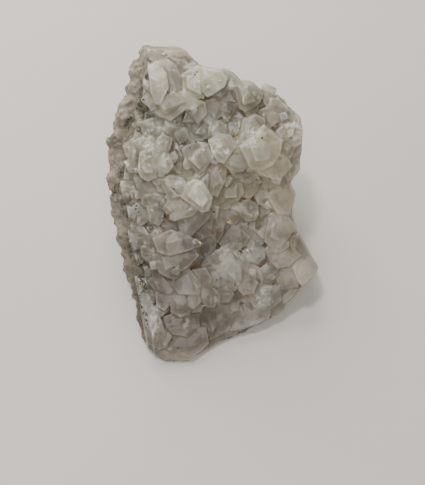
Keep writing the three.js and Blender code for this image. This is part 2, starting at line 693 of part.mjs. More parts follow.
function knobs() {
  const random = randomSource(37);
  const outward = leaning(200 * DEG, 35 * DEG);
  const solids = RIM_KNOBS.map(([x, y, w, radius]) =>
    knob(seen(x, y, w), radius, 0.7, outward, 100 * DEG, random),
  );
  scatterRound(98 * DEG, 236 * DEG, random, ({ point, normal }) => {
    const radius = between(random, 5, 8);
    const centre = point.addScaledVector(normal, -radius * 0.16);
    const twist = random() * Math.PI;
    solids.push(knob(centre, radius, 0.38, normal, twist, random));
  });
  return solids;
}

// ---- putting it together ------------------------------------------------------------------------

const underTable = beyond(point3(0, 0, -1), 0);
const sizes = randomSource(5);
const crystalMass = joined([
  rock,
  ...TERRACES.map(terrace),
  ...LARGE.map((row) => largeCrystal(row, sizes)),
  ...smallCrystals(),
  ...seamCrystals(),
  ...sideCrystals(),
])
  .intersect(crystalSide(0))
  .subtract(underTable);

const skin = joined([rock, ...knobs()])
  .subtract(crystalSide(-SEAM_GAP))
  .subtract(underTable);

// The largest body of a solid: crumbs that a cut leaves loose are dropped.
function largest(solid) {
  const bodies = solid.decompose();
  return bodies.reduce((a, b) => (b.volume() > a.volume() ? b : a));
}

const specimen = new THREE.Group();

function addPiece(name, solid, color, roughness) {
  const mesh = new THREE.Mesh(
    geometryOf(largest(solid)),
    new THREE.MeshStandardMaterial({ color, roughness, metalness: 0 }),
  );
  mesh.name = name;
  specimen.add(mesh);
}

addPiece("apophyllite_crystals", crystalMass, 0xa8a49c, 0.25);
addPiece("chalcedony_crust", skin, 0x9c9484, 0.6);

// The origin goes under the middle of the specimen's box.
const box = new THREE.Box3().setFromObject(specimen);
const middle = box.getCenter(new THREE.Vector3());
for (const piece of specimen.children)
  piece.geometry.translate(-middle.x, -middle.y, -box.min.z);

export default specimen;
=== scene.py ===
import math

import bmesh
import bpy
import numpy as np
from mathutils import Matrix, Vector
from mathutils.bvhtree import BVHTree


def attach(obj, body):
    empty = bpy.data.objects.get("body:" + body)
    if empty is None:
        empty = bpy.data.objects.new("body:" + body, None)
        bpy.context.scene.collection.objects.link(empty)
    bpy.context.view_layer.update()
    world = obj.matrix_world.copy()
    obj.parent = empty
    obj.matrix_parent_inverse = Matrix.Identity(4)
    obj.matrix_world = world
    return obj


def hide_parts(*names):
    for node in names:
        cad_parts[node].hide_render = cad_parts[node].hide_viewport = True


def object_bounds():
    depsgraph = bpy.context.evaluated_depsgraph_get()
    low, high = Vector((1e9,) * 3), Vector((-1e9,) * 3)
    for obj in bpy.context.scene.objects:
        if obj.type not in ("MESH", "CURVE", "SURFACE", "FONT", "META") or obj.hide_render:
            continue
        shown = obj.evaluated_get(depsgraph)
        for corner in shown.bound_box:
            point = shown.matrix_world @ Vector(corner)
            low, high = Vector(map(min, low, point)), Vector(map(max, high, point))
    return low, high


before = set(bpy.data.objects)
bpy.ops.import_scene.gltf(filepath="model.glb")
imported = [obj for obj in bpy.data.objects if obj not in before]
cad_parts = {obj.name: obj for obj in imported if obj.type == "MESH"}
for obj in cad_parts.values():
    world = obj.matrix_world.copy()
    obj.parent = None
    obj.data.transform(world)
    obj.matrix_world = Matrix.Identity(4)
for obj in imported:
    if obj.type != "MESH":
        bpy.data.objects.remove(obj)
cad_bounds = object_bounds()

# A rough apophyllite specimen: a mass of intergrown, milky-clear crystals on a knobbly crust of
# chalcedony, with dark green grains in the seam between them and a few ochre specks.
# Tables and sizes are in millimetres, but for the scales of materials and the places of lights, which
# are in metres, as the meshes are.

MM = 0.001

# ---- the face of crystals ----
# Places on the face are given on a square grid, x to the right and y down, as they appear to an eye
# above the face. u runs to the right, v up the face and w out of it.

FACE_TILT = math.radians(28)
FACE_ORIGIN = np.array([-0.151, -2.534, 24.5])
EYE = 230.0  # from the face to the eye
GRID = 0.285  # one grid step at the face
GRID_X, GRID_Y = 213.0, 203.4  # the grid place of the face's origin
EYE_X, EYE_Y = 212.5, 242.5  # the grid place that the eye is above
EYE_V = (GRID_Y - EYE_Y) * GRID
FACE_LEFT, FACE_RIGHT, FACE_TOP, FACE_BOTTOM = 104, 320, 44, 364
CLEAR = 40  # a depth well clear of the face, on either side

FACE = np.array([
    [1.0, 0.0, 0.0],
    [0.0, math.cos(FACE_TILT), math.sin(FACE_TILT)],
    [0.0, -math.sin(FACE_TILT), math.cos(FACE_TILT)],
])
OUT_OF_FACE = FACE[2]


def seen(x, y, w):
    """A point of the part, in mm, from its apparent place on the grid and its depth."""
    spread = GRID * (1 - w / EYE)
    return FACE_ORIGIN + np.array([(x - GRID_X) * spread, EYE_V + (EYE_Y - y) * spread, w]) @ FACE


def grid_place(points):
    """The apparent grid x and y, and the depth w, of points in mm."""
    u, v, w = ((points - FACE_ORIGIN) @ FACE.T).T
    spread = GRID * (1 - w / EYE)
    return GRID_X + u / spread, EYE_Y - (v - EYE_V) / spread, w


# The seam between the crystals and the crust, from the top of the face to the bottom.
SEAM = np.array([
    (152,0), (149,52), (147,66), (142,86), (141,108), (134,130), (127,152), (122,178),
    (122,196), (129,218), (131,245), (138,274), (141,305), (146,340), (149,420),
])


def seam_x(y):
    """The grid x of the seam at a grid y."""
    return np.interp(y, SEAM[:, 1], SEAM[:, 0])


# The outline of the whole face, which no crystal reaches beyond.
EDGE = np.array([
    (146,47.5), (149,48.5), (185,49.5), (196,65), (229,72), (242,82), (252,82), (260,89), (272,87),
    (278,90), (278,98), (300,117), (303,131), (300,171), (291,182), (296,194), (290,202),
    (290,217), (312,257), (319,268), (310,282), (302,287), (279,314), (244,330), (231,332),
    (204,347), (196,360), (186,364), (167,362), (158,358), (149,353), (145,335), (141,308),
    (136,290), (122,240), (113,190), (116,150), (128,118), (138,85), (144,60),
])


KEPT_LEAST, KEPT_STEP = 0.3, 0.02  # how far at most, and by what steps, a place is drawn in


def inside(corners, x, y):
    """Whether a grid place is inside an outline."""
    after = np.roll(corners, -1, axis=0)
    crossing = (corners[:, 1] > y) != (after[:, 1] > y)
    run = np.where(crossing, after[:, 1] - corners[:, 1], 1)
    at = corners[:, 0] + (after[:, 0] - corners[:, 0]) * (y - corners[:, 1]) / run
    return (crossing & (x < at)).sum() % 2 == 1


def kept_in(place, towards):
    """A grid place, drawn in towards another until it is inside the outline."""
    share = 1.0
    while share > KEPT_LEAST and not inside(EDGE, *(towards + (place - towards) * share)):
        share -= KEPT_STEP
    return towards + (place - towards) * share


# ---- noise ----

LATTICE = (64, 64, 64)


class CellField:
    """Cells scattered through space, each with random numbers of its own."""

    def __init__(self, size, seed, stretch=(1, 1, 1)):
        rng = np.random.default_rng(seed)
        self.scale = np.array(stretch, float) * size
        self.jitter = rng.random((*LATTICE, 3))
        self.values = rng.uniform(-1, 1, (*LATTICE, 4))

    def sample(self, points):
        """For each point: its cell's random numbers, and the vector from the cell's heart, in cells."""
        spots = points / self.scale
        base = np.floor(spots).astype(int)
        best = np.full(len(points), np.inf)
        offset = np.zeros_like(spots)
        cell = np.zeros_like(base)
        for step in np.ndindex(3, 3, 3):
            near = base + np.array(step) - 1
            heart = near + self.jitter[tuple((near % LATTICE).T)]
            away = spots - heart
            distance = (away**2).sum(1)
            closer = distance < best
            best[closer] = distance[closer]
            offset[closer] = away[closer]
            cell[closer] = near[closer]
        return self.values[tuple((cell % LATTICE).T)], offset


class SmoothField:
    """Smooth random values between -1 and 1, on a lattice."""

    def __init__(self, size, seed):
        self.size = size
        self.values = np.random.default_rng(seed).uniform(-1, 1, LATTICE)

    def sample(self, points):
        spots = points / self.size
        base = np.floor(spots).astype(int)
        share = spots - base
        share = share * share * (3 - 2 * share)
        total = np.zeros(len(points))
        for step in np.ndindex(2, 2, 2):
            weight = np.prod(np.where(np.array(step) == 1, share, 1 - share), axis=1)
            total += weight * self.values[tuple(((base + np.array(step)) % LATTICE).T)]
        return total


# ---- mesh tools ----


def mesh_object(name, points, faces):
    """A new object from points in mm."""
    mesh = bpy.data.meshes.new(name)
    mesh.from_pydata((np.asarray(points) * MM).tolist(), [], faces)
    mesh.update()
    obj = bpy.data.objects.new(name, mesh)
    bpy.context.scene.collection.objects.link(obj)
    return obj


def vectors_of(items, key):
    """The vectors that a mesh keeps under a key, one a row."""
    vectors = np.empty(len(items) * 3, np.float32)
    items.foreach_get(key, vectors)
    return vectors.reshape(-1, 3).astype(float)


def points_of(obj):
    """An object's vertices, in mm."""
    return vectors_of(obj.data.vertices, "co") / MM


def normals_of(obj):
    """The direction that the surface faces at each point."""
    return vectors_of(obj.data.vertex_normals, "vector")


def within_cad(points):
    """Points in mm, kept inside the box of the CAD."""
    low, high = (np.array(corner) / MM for corner in cad_bounds)
    return np.clip(points, low, high)


def move_points(obj, points):
    """Puts an object's points in new places, in millimetres."""
    obj.data.vertices.foreach_set("co", (points * MM).astype(np.float32).ravel())
    obj.data.update()


def apply_modifier(obj, kind, **settings):
    """Adds a modifier, applies it, and leaves none on the object."""
    modifier = obj.modifiers.new(kind, kind)
    for key, value in settings.items():
        setattr(modifier, key, value)
    graph = bpy.context.evaluated_depsgraph_get()
    made = bpy.data.meshes.new_from_object(obj.evaluated_get(graph))
    old = obj.data
    obj.modifiers.clear()
    obj.data = made
    bpy.data.meshes.remove(old)


def remesh(obj, voxel):
    """Fuses an object's shapes into one closed skin of even fineness."""
    apply_modifier(obj, "REMESH", mode="VOXEL", voxel_size=voxel * MM)


def thin_to(obj, triangles):
    """Brings a mesh down to a number of triangles."""
    obj.data.calc_loop_triangles()
    now = len(obj.data.loop_triangles)
    if now > triangles:
        apply_modifier(obj, "DECIMATE", ratio=triangles / now)


def copy_of(node, name):
    """A copy of a CAD node, without its material."""
    obj = bpy.data.objects.new(name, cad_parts[node].data.copy())
    obj.data.materials.clear()
    bpy.context.scene.collection.objects.link(obj)
    return obj


def shape_of(obj):
    """An object's vertices, in mm, and faces."""
    return points_of(obj), [list(face.vertices) for face in obj.data.polygons]


def surface_of(obj):
    """A tree of an object's surface, in mm, for rays."""
    points, faces = shape_of(obj)
    return BVHTree.FromPolygons(points.tolist(), faces)


def hull(points):
    """The vertices and faces of the convex hull of some points."""
    shape = bmesh.new()
    for point in points:
        shape.verts.new(point)
    made = bmesh.ops.convex_hull(shape, input=shape.verts)
    loose = [e for e in made["geom_interior"] + made["geom_unused"] if isinstance(e, bmesh.types.BMVert)]
    bmesh.ops.delete(shape, geom=list(set(loose)), context="VERTS")
    shape.verts.index_update()
    vertices = np.array([v.co[:] for v in shape.verts])
    faces = [[v.index for v in f.verts] for f in shape.faces]
    shape.free()
    return vertices, faces


def many(name, shapes):
    """One object from a list of shapes, each its vertices and faces."""
    points, faces, start = [], [], 0
    for vertices, shape_faces in shapes:
        points.append(vertices)
        faces += [[start + i for i in face] for face in shape_faces]
        start += len(vertices)
    return mesh_object(name, np.concatenate(points), faces)


def joined(name, objects):
    """One object with the meshes of several, which are deleted."""
    shapes = [shape_of(obj) for obj in objects]
    for obj in objects:
        bpy.data.meshes.remove(obj.data)
    return many(name, shapes)


def turned_to(axis, twist):
    """The matrix that turns +Z to an axis, after a twist about it."""
    turn = Vector((0, 0, 1)).rotation_difference(Vector(axis)).to_matrix()
    return np.array(turn @ Matrix.Rotation(twist, 3, "Z"))


# ---- crystals ----

CRYSTAL_VOXEL = 0.22
CRYSTAL_TRIANGLES = 190_000
PYRAMID_SLOPE = math.radians(60.5)
FACE_MIDDLE = np.array([212.0, 205.0])
RELIEF_STEP = 2  # grid steps between the places where the relief is taken
COVER_REACH = 9  # how far round a place its cover is taken from
COVER_SHARE = 66  # how many of a hundred places round it lie below its cover
SPREAD, SPREAD_ABOVE = 1.06, 1.3  # how far a crystal's outline runs under its neighbours
RIM, ROOT = 0.985, 0.6  # share of the outline that the rim and the root take up
RIM_THICKNESS = 1.2
ROOT_DEPTH = 7.0
ROOT_SET_BACK = 3.4  # how far up the face the root lies
CRYSTAL_RINGS = ((RIM, 0.8), (0.93, 0.2), (0.6, 0.0))  # share of the outline, and drop below the end face
END_SHARE, END_REACH = 0.8, 1.3  # share of the outline, and depths, that count as its end face

# Small crystals. Their room and reach are in grid steps.
SMALL_TRIES = 6000
SMALL_ROOM = (5.0, 9.5)
CELL_REACH, NEIGHBOUR_REACH = 9, 24
EDGE_MARGIN, SEAM_MARGIN = 5, 3
FULL_REACH = 14  # the reach of a crystal whose chips are of full size
THINNEST = 0.4  # the shallowest hollow that one fills
SIDE_TRIES = 300
SIDE_HEIGHTS, SIDE_SWAY, SIDE_START = (2, 40), 30, 90  # where rays come in from the side

# One a row: the depth of its rim and of its end face, how milky it is, the grid place that its end face is
# centred on, and its outline as grid places, x,y.
LARGE = [
    # top left
    (0.5, 4.5, 0.5, (168,57), (149,50, 185,49.5, 196,65, 182,79, 150,60)),
    (5.5, 9.2, 0.9, (159,84), (150,70, 157,66, 165,76, 169,90, 161,104, 155,103, 151,92)),
    (4.4, 6.9, 0.45, (172,78), (158,66, 168,63, 176,68, 182,79, 181,89, 172,94, 163,88)),
    (2.6, 6.6, 0.8, (172,104), (147,101, 156,92, 176,88, 188,94, 193,101, 171,120, 160,116)),
    # top
    (3.3, 6.7, 0.9, (195,84), (183,77, 197,65, 206,67, 207,90, 203,98, 192,97, 184,90)),
    (3.4, 8.3, 0.95, (214,84), (202,90, 203,68, 221,72, 225,80, 224,87, 208,97)),
    (2, 5.5, 0.5, (230,80), (220,72, 229,71, 238,77, 242,84, 239,89, 225,90, 221,84)),
    (2.5, 7, 0.25, (248,97), (236,87, 242,82, 253,82.5, 260.5,94, 259,103, 246,112, 240,108)),
    (-0.5, 3.5, 0.2, (270,94), (262,91, 267,87, 277.5,89, 270,109, 265,105)),
    (1.5, 4.5, 0.35, (226,98), (212,98, 222,90, 232,89, 239,94, 241,104, 236,109, 214,104)),
    (2.5, 5.5, 0.35, (214,110), (206,103, 214,101, 221,106, 223,115, 215,120, 207,115)),
    (2.2, 5, 0.35, (226,112), (220,107, 228,105, 233,111, 230,119, 223,120)),
    (3, 7, 0.5, (199,113), (189,114, 190,108, 196,102, 204,105, 207,114, 198,125)),
    # upper middle
    (0.5, 3.2, 0.15, (176,130), (158,119, 186,116, 193,123, 194,135, 188,143, 176,147, 165,141)),
    (1.8, 4.8, 0.25, (203,131), (192,134, 194,124, 203,121, 210,128, 208,138, 199,142)),
    (2.8, 6.4, 0.45, (217,131), (208,133, 210,127, 218,122, 225,126, 227,134, 220,141, 212,140)),
    (3.5, 8, 0.5, (222,149), (211,142, 219,136, 229,138, 234,147, 224,163, 218,161, 212,152)),
    (3, 7, 0.45, (202,159), (185,160, 186,151, 198,145, 208,147, 214,154, 205,171, 199,174)),
    (1.8, 4.2, 0.35, (195,146), (185,147, 192,139, 201,140, 207,147, 198,153, 189,153)),
    (1, 3.4, 0.15, (180,153), (170,146, 181,144, 189,152, 188,163, 178,165, 170,158)),
    (0.4, 3, 0.2, (182,171), (172,172, 178,164, 190,165, 194,173, 186,180, 175,180)),
    (3, 7, 0.45, (237,163), (226,158, 242,152, 249,158, 249,166, 241,172, 232,172, 226,166)),
    (1.5, 4.5, 0.25, (240,122), (230,113, 240,111, 249,118, 247,128, 238,132, 230,125)),
    (3.2, 7.5, 0.5, (254,129), (241,130, 245,121, 255,117, 263,121, 265,130, 250,149, 243,141)),
    (4.4, 9.2, 0.55, (263,150), (244,147, 264,130, 279,142, 280,154, 273,164, 262,169.5, 251,168)),
    (1.6, 5.4, 0.3, (271,118), (260,113, 270,108, 279,111, 284,118, 266,131, 260,122)),
    (0.8, 4, 0.2, (285,107), (274,104, 280,102, 287,106, 289,113, 281,118, 274,112)),
    (1.8, 5.8, 0.5, (285,146), (276,136, 283,129, 295,147, 290,158, 282,162, 277,152)),
    # right edge
    (-2, 3.2, 0.5, (293,122), (282,119, 286,112, 292,111, 299,118, 301,128, 294,135, 285,130)),
    (-2, 3.6, 0.45, (295,137), (286,131, 297,125, 302,131, 301,143, 294,148, 287,141)),
    (-3, 2.4, 0.5, (295,152), (288,147, 300,142, 301,153, 298,161, 290,160)),
    (2, 6, 0.6, (273,171), (257,169, 284,159, 288,167, 279,180, 261,175)),
    (-2.5, 2.4, 0.5, (292,168), (283,160, 291,158, 298,161, 301,170, 288,181, 283,174)),
    (-3, 0.6, 0.45, (279,181), (262,176, 291,177, 292,182, 287,187, 264,183)),
    (-5, 0.6, 0.55, (282,197), (270,195, 283,184, 295,194, 289,214, 277,214, 271,204)),
    # under the step
    (1.5, 6, 0.4, (216,180), (207,182, 211,165, 218,162, 225,168, 226,180, 217,197, 211,193)),
    (-0.5, 2.6, 0.3, (240,176), (226,168, 257,168, 259,176, 250,183, 229,181)),
    (-1.5, 3, 0.35, (232,192), (221,188, 230,181, 240,183, 244,193, 239,200, 230,204, 221,201)),
    (-1.5, 1.8, 0.3, (218,201), (207,204, 208,197, 222,195, 227,202, 211,210)),
    (-2.5, 1.4, 0.3, (250,189), (242,184, 259,180, 259,189, 250,199, 243,197)),
    (-4, 0.4, 0.3, (264,193), (254,195, 257,184, 268,183, 274,189, 272,199, 266,205, 258,204)),
    (-3.5, 1, 0.3, (230,212), (215,209, 222,203, 232,202, 240,206, 243,217, 235,224)),
    (-3.5, 1.6, 0.35, (248,211), (239,204, 248,201, 256,206, 259,214, 255,220, 246,221, 240,214)),
    (-5, -1.2, 0.3, (264,212), (256,208, 266,204, 276,211, 272,217, 262,221, 256,217)),
    # left
    (1.5, 7.6, 0.7, (163,161), (154,168, 155,153, 166,150, 173.5,165, 169,172, 160,175)),
    (1.5, 8, 0.7, (149,165), (137,168, 140,156, 150,150, 158,153, 156,178, 148,181, 141,177)),
    (2.5, 7.2, 0.5, (149,145), (140,147, 150,136.5, 157,143, 159,151, 142,153)),
    (2.5, 6.8, 0.5, (164,143), (157,141, 163,135, 171,140, 170,150, 166,154, 158,151)),
    (0.5, 3.8, 0.4, (132,151), (125,147, 133,141, 141,147, 141,157, 133,161, 126,156)),
    (0, 3.4, 0.45, (134,166), (126,163, 136,159, 141,165, 138,174, 129,172)),
    (0.5, 4, 0.35, (150,128), (142,123, 152,120, 159,126, 157,135, 148,138, 142,132)),
    (3.5, 7.4, 0.45, (174,187), (162,182, 170,177, 180,179, 187,186, 185,195, 176,199, 167,195)),
    (2.5, 4.8, 0.4, (151,198), (142,194, 161,187, 167,207, 160,213, 149,210, 142,204)),
    (0.5, 3, 0.35, (131,190), (122,184, 133,180, 141,188, 140,199, 130,203, 123,196)),
    (1.5, 4, 0.3, (145,183), (136,179, 147,176, 157,181, 155,190, 145,194, 137,189)),
    # middle left
    (5.2, 9.8, 0.75, (199,199), (185,198, 188,188, 194,184, 202,185, 210,198, 208,210, 202,212)),
    (4, 7.4, 0.55, (183,211), (170,214, 186,200, 197,209, 191,216, 175,221, 170,219)),
    (4, 7.2, 0.5, (174,205), (163,209, 170,199, 181,195, 187,199, 168,215)),
    (2.5, 6, 0.5, (155,215), (148,208, 156,206, 162,212, 163,221, 158,226, 150,221)),
    (1, 5.2, 0.35, (192,222), (180,219, 201,209, 208,209, 206,219, 189,238, 180,233)),
    (0.5, 3.8, 0.35, (171,224), (161,222, 171,216, 182,218, 182,233, 162,231)),
    (0.2, 2.8, 0.4, (138,215), (129,208, 140,204, 149,211, 148,222, 138,227, 130,220)),
    # lower left
    (1.2, 6.8, 0.4, (178,247), (158,240, 172,233, 184,236, 196,245, 188,251, 170,256, 158,252)),
    (0.6, 5.6, 0.4, (175,262), (156,256, 172,254, 190,250, 194,257, 188,267, 169,277, 160,273)),
    (-0.5, 3.2, 0.2, (149,248), (140,240, 150,236, 159,242, 160,256, 151,264, 142,257)),
    (-1, 2.2, 0.3, (136,241), (130,234, 137,231, 143,238, 142,248, 135,250, 130,243)),
    (-1.5, 2, 0.25, (196,257), (189,250, 198,250, 203,257, 199,264, 190,264)),
    (-3, 1, 0.3, (203,229), (194,230, 201,222, 211,226, 211,236, 202,239)),
    (-3.5, 0.2, 0.25, (206,245), (197,241, 207,235, 215,240, 214,252, 204,256, 198,250)),
    (-3.5, 0.4, 0.3, (208,262), (199,262, 207,255, 216,259, 216,268, 206,271)),
    (-0.5, 3.2, 0.3, (161,284), (150,281, 159,275, 175,289, 169,295, 157,293)),
    (-0.5, 4, 0.4, (186,284), (172,283, 180,275, 190,273, 197,283, 200,295, 179,294)),
    (-0.5, 3.4, 0.3, (165,301), (157,294, 168,291, 173,301, 165,311, 157,307)),
    (0, 3.8, 0.35, (180,304), (171,298, 182,295, 191,304, 189,314, 180,317, 172,312)),
    (0.5, 4.2, 0.6, (194,301), (188,306, 189,294, 198,295, 201,302, 194,309)),
    (-1.5, 2.4, 0.35, (203,280), (194,283, 195,272, 205,270, 211,279, 208,289, 200,291)),
    (-2, 2.2, 0.3, (209,298), (200,298, 202,290, 212,288, 218,297, 214,308, 206,307)),
    (-2.5, 1.2, 0.35, (224,296), (216,291, 226,288, 232,294, 229,302, 219,303)),
    (-0.8, 0.6, 0.2, (141,286), (136,278, 143,276, 148,285, 146,295, 139,296)),
    # the pale splinter down the lower left edge
    (-3, 0.4, 0.3, (147,322), (141,303, 146,302, 150,320, 154,346, 147,344, 142,320)),
    (-2, 1.8, 0.7, (150,320), (141,297, 148,299, 162,322, 164,334, 154,349, 145,322)),
    (-3, 0.6, 0.6, (163,339), (157,331, 165,330, 170,337, 166,347, 158,350)),
    # lower middle
    (-4, 1, 0.45, (216,224), (209,228, 210,221, 218,216, 224,221, 223,230, 214,234)),
    (-5, -1, 0.25, (226,241), (217,236, 226,231, 233,238, 231,246, 222,249)),
    (-5, -0.8, 0.25, (239,238), (229,240, 230,231, 240,229, 248,237, 245,246, 235,249)),
    (-6, -2.2, 0.2, (256,239), (247,234, 257,231, 265,237, 262,245, 252,248)),
    (-4.5, 0.4, 0.65, (229,256), (215,257, 222,249, 230,246, 244,260, 240,269, 221,269, 215,264)),
    (-3, 0.8, 0.75, (229,272), (217,268, 228,262, 238,267, 241,277, 239,284, 218,276)),
    (-5, -0.4, 0.5, (254,255), (243,258, 245,252, 254,246, 263,250, 265,258, 258,264)),
    # lower right
    (-5, 1.4, 0.5, (277,232), (271,218, 282,214, 289.5,219, 293,229, 282,247, 272,247, 265,241)),
    (-5, -0.2, 0.4, (281,258), (269,252, 280,246, 291,249, 297,256, 289,266, 277,268, 269,260)),
    (-7, -2, 0.4, (300,248), (291,240, 298.5,237, 312,257, 303,260, 293,256)),
    (-8.5, -1.6, 0.7, (307,270), (295,268, 302,258, 311,257, 318,267, 317.5,275, 302,287, 297,280)),
    (-5.5, -1.6, 0.55, (266,275), (259,271, 266,266, 273,272, 271,283, 261,282)),
    (-4.5, -0.6, 0.6, (246,284), (236,286, 237,276, 246,273, 256,283, 253,293, 243,295)),
    (-7, -2.6, 0.4, (287,277), (277,270, 288,266, 298,275, 297,286, 286,290, 278,283)),
    (-6, -2.8, 0.5, (263,297), (249,294, 261,286, 276,288, 281,300, 270,309, 254,307)),
    (-9, -4.6, 0.35, (290,294), (279,291, 292,286, 301,288, 296,297, 284,304)),
    (-8, -4, 0.5, (254,316), (239,308, 255,304, 269,308, 272,319, 257,327, 243,328)),
    (-8, -4, 0.6, (236,321), (227,314, 237,309, 245,317, 243,329, 230,331)),
    (-9, -5.4, 0.45, (276,309), (267,302, 281,299, 286,307, 276,318, 268,315)),
    # the broken foot of the face
    (-5, -2.6, 0.25, (216,318), (199,305, 219,301, 236,303, 228,330, 211,339, 200,331)),
    (-3.4, -1.2, 0.3, (182,346), (158,352, 167,334, 181,328, 201,331, 207,344, 185.5,363, 166,361)),
    (-3.2, -0.6, 0.3, (182,324), (167,318, 180,313, 196,316, 199,328, 186,337, 169,333)),
]


# Where no small crystals grow: grid x and y, and radius across and down.
BARE = [
    (170, 58, 22, 10),
    (167, 80, 17, 16),
    (178, 346, 24, 18),
    (216, 322, 16, 14),
    (203, 82, 20, 16),
]


def crystal(tip, axis, half, root, rng, length=1.0):
    """A square prism with a pyramid set across its corners, its tip at a point."""
    cut = rng.uniform(0.5, 1.5) * half * math.tan(PYRAMID_SLOPE) / math.sqrt(2)
    planes = [([0, 0, 1], 0), ([0, 0, -1], root)]
    for side in range(4):
        turn = side * math.pi / 2
        width = half * rng.uniform(0.8, 1.2) * (length if side % 2 else 1.0)
        planes.append(([math.cos(turn), math.sin(turn), 0], width))
        corner = turn + math.pi / 4
        slope = PYRAMID_SLOPE * rng.uniform(0.9, 1.1)
        normal = [math.sin(slope) * math.cos(corner), math.sin(slope) * math.sin(corner), math.cos(slope)]
        planes.append((normal, math.cos(slope) * cut * rng.uniform(0.7, 1.3)))
    normals = np.array([p[0] for p in planes], float)
    distances = np.array([p[1] for p in planes], float)
    triples = np.array([(i, j, k) for i in range(len(planes)) for j in range(i) for k in range(j)])
    systems = normals[triples]
    solid = np.abs(np.linalg.det(systems)) > 1e-6
    corners = np.linalg.solve(systems[solid], distances[triples[solid]][..., None])[..., 0]
    held = (corners @ normals.T <= distances + 1e-6).all(1)
    corners = corners[held] @ turned_to(axis, rng.uniform(0, math.pi)).T + tip
    return hull(corners)


def unit(vector):
    """A vector's direction, with length 1."""
    return vector / np.linalg.norm(vector)


def random_direction(rng):
    """A direction drawn at random, each as likely as any other."""
    return unit(rng.normal(size=3))


def eye_ray(surface, x, y):
    """What the eye's ray through a grid place hits: a point and normal, or nothing."""
    start = seen(x, y, CLEAR)
    return surface.ray_cast(Vector(start), Vector(unit(seen(x, y, -CLEAR) - start)))


def on_face(surface, x, y):
    """The point of the surface that is seen at a grid place."""
    hit = eye_ray(surface, x, y)
    return None if hit[0] is None else np.array(hit[0])


def face_spots(surface, count, rng):
    """Random places on the face as the eye sees it: their point and normal."""
    down = Vector(-OUT_OF_FACE)
    spots = []
    for _ in range(count):
        hit = eye_ray(surface, rng.uniform(FACE_LEFT, FACE_RIGHT), rng.uniform(FACE_TOP, FACE_BOTTOM))
        if hit[0] is not None and hit[1].dot(down) < 0:
            spots.append((np.array(hit[0]), np.array(hit[1])))
    return spots


def side_spots(surface, count, bearings, rng):
    """Random places round the sides between two bearings: their point and normal."""
    low, high = (math.radians(bearing) for bearing in bearings)
    spots = []
    for _ in range(count):
        bearing, z = rng.uniform(low, high), rng.uniform(*SIDE_HEIGHTS)
        out = np.array([math.cos(bearing), math.sin(bearing), rng.uniform(-0.1, 0.5)])
        across = np.array([-out[1], out[0], 0]) * rng.uniform(-SIDE_SWAY, SIDE_SWAY)
        hit = surface.ray_cast(Vector(out * SIDE_START + across + np.array([0, 0, z])), Vector(-unit(out)))
        if hit[0] is not None:
            spots.append((np.array(hit[0]), np.array(hit[1])))
    return spots


def shield(row, rng, drop_scale=1.0, root_depth=ROOT_DEPTH, chips=(1, 4), slope=None):
    """A broad shield-shaped crystal: its face leans up the slope, and its lower edge stands proud."""
    rim, top, _, end, outline = row
    end = np.array(end, float)
    ring = np.array(outline, float).reshape(-1, 2)
    ring = end + (ring - end) * np.where(ring[:, 1:] < end[1], SPREAD_ABOVE, SPREAD)
    ring = np.array([kept_in(place, end) for place in ring])
    slope = slope or (rng.uniform(-0.15, 0.15), rng.uniform(0.02, 0.26))
    points = []
    for share, drop in CRYSTAL_RINGS:
        for x, y in end + (ring - end) * share:
            depth = top - drop * drop_scale + np.dot([x - end[0], y - end[1]], slope) * GRID
            points.append(seen(x, y, depth + rng.uniform(-0.12, 0.12) * drop_scale))
    for x, y in end + (ring - end) * RIM:
        points.append(seen(x, y, rim - RIM_THICKNESS - max(0, end[1] - y) * GRID * 0.3))
    up_the_face = np.array([0, -ROOT_SET_BACK * root_depth / ROOT_DEPTH / GRID])
    for place in end + (ring - end) * ROOT:
        points.append(seen(*kept_in(place + up_the_face, end), rim - root_depth))
    shape = hull(np.array(points))
    middle = seen(*end, top)
    for _ in range(rng.integers(*chips)):
        shape = chipped(shape, middle, rng)
    for _ in range(rng.integers(1, 4)):
        normal = unit(OUT_OF_FACE * rng.uniform(2.5, 6) + random_direction(rng))
        shape = cut(shape, normal, middle @ normal + rng.uniform(-0.02, 0.2) * drop_scale)
    return shape


def chipped(shape, middle, rng):
    """A convex shape with one corner near its end face cut off by a plane."""
    vertices, _ = shape
    normal = unit(OUT_OF_FACE * rng.uniform(0.5, 1.2) + random_direction(rng))
    reach = (vertices @ normal).max()
    depth = rng.uniform(0.1, 0.5)
    limit = max(reach - depth, middle @ normal + 0.1)
    return cut(shape, normal, limit)


def cut(shape, normal, limit):
    """A convex shape with what lies beyond a plane taken off."""
    vertices, faces = shape
    side = vertices @ normal - limit
    kept = [v for v, s in zip(vertices, side) if s <= 0]
    for face in faces:
        for a, b in zip(face, face[1:] + face[:1]):
            if side[a] < 0 < side[b]:
                kept.append(vertices[a] + (vertices[b] - vertices[a]) * side[a] / (side[a] - side[b]))
    return hull(np.array(kept)) if len(kept) > 3 else shape


def relief_of(surface):
    """Over a coarse grid: its places, the depth of the surface, and that of a smooth cover laid over it."""
    xs = np.arange(FACE_LEFT, FACE_RIGHT + RELIEF_STEP, RELIEF_STEP)
    ys = np.arange(FACE_TOP, FACE_BOTTOM + RELIEF_STEP, RELIEF_STEP)
    depth = np.full((len(ys), len(xs)), np.nan)
    for row, y in enumerate(ys):
        for column, x in enumerate(xs):
            spot = on_face(surface, x, y)
            if spot is not None:
                depth[row, column] = (spot - FACE_ORIGIN) @ OUT_OF_FACE
    reach = COVER_REACH // RELIEF_STEP
    padded = np.pad(depth, reach, constant_values=np.nan)
    around = [
        padded[reach + dy : reach + dy + len(ys), reach + dx : reach + dx + len(xs)]
        for dy in range(-reach, reach + 1)
        for dx in range(-reach, reach + 1)
        if dx * dx + dy * dy <= reach * reach
    ]
    cover = np.nanpercentile(np.array(around), COVER_SHARE, axis=0)
    return xs, ys, depth, cover


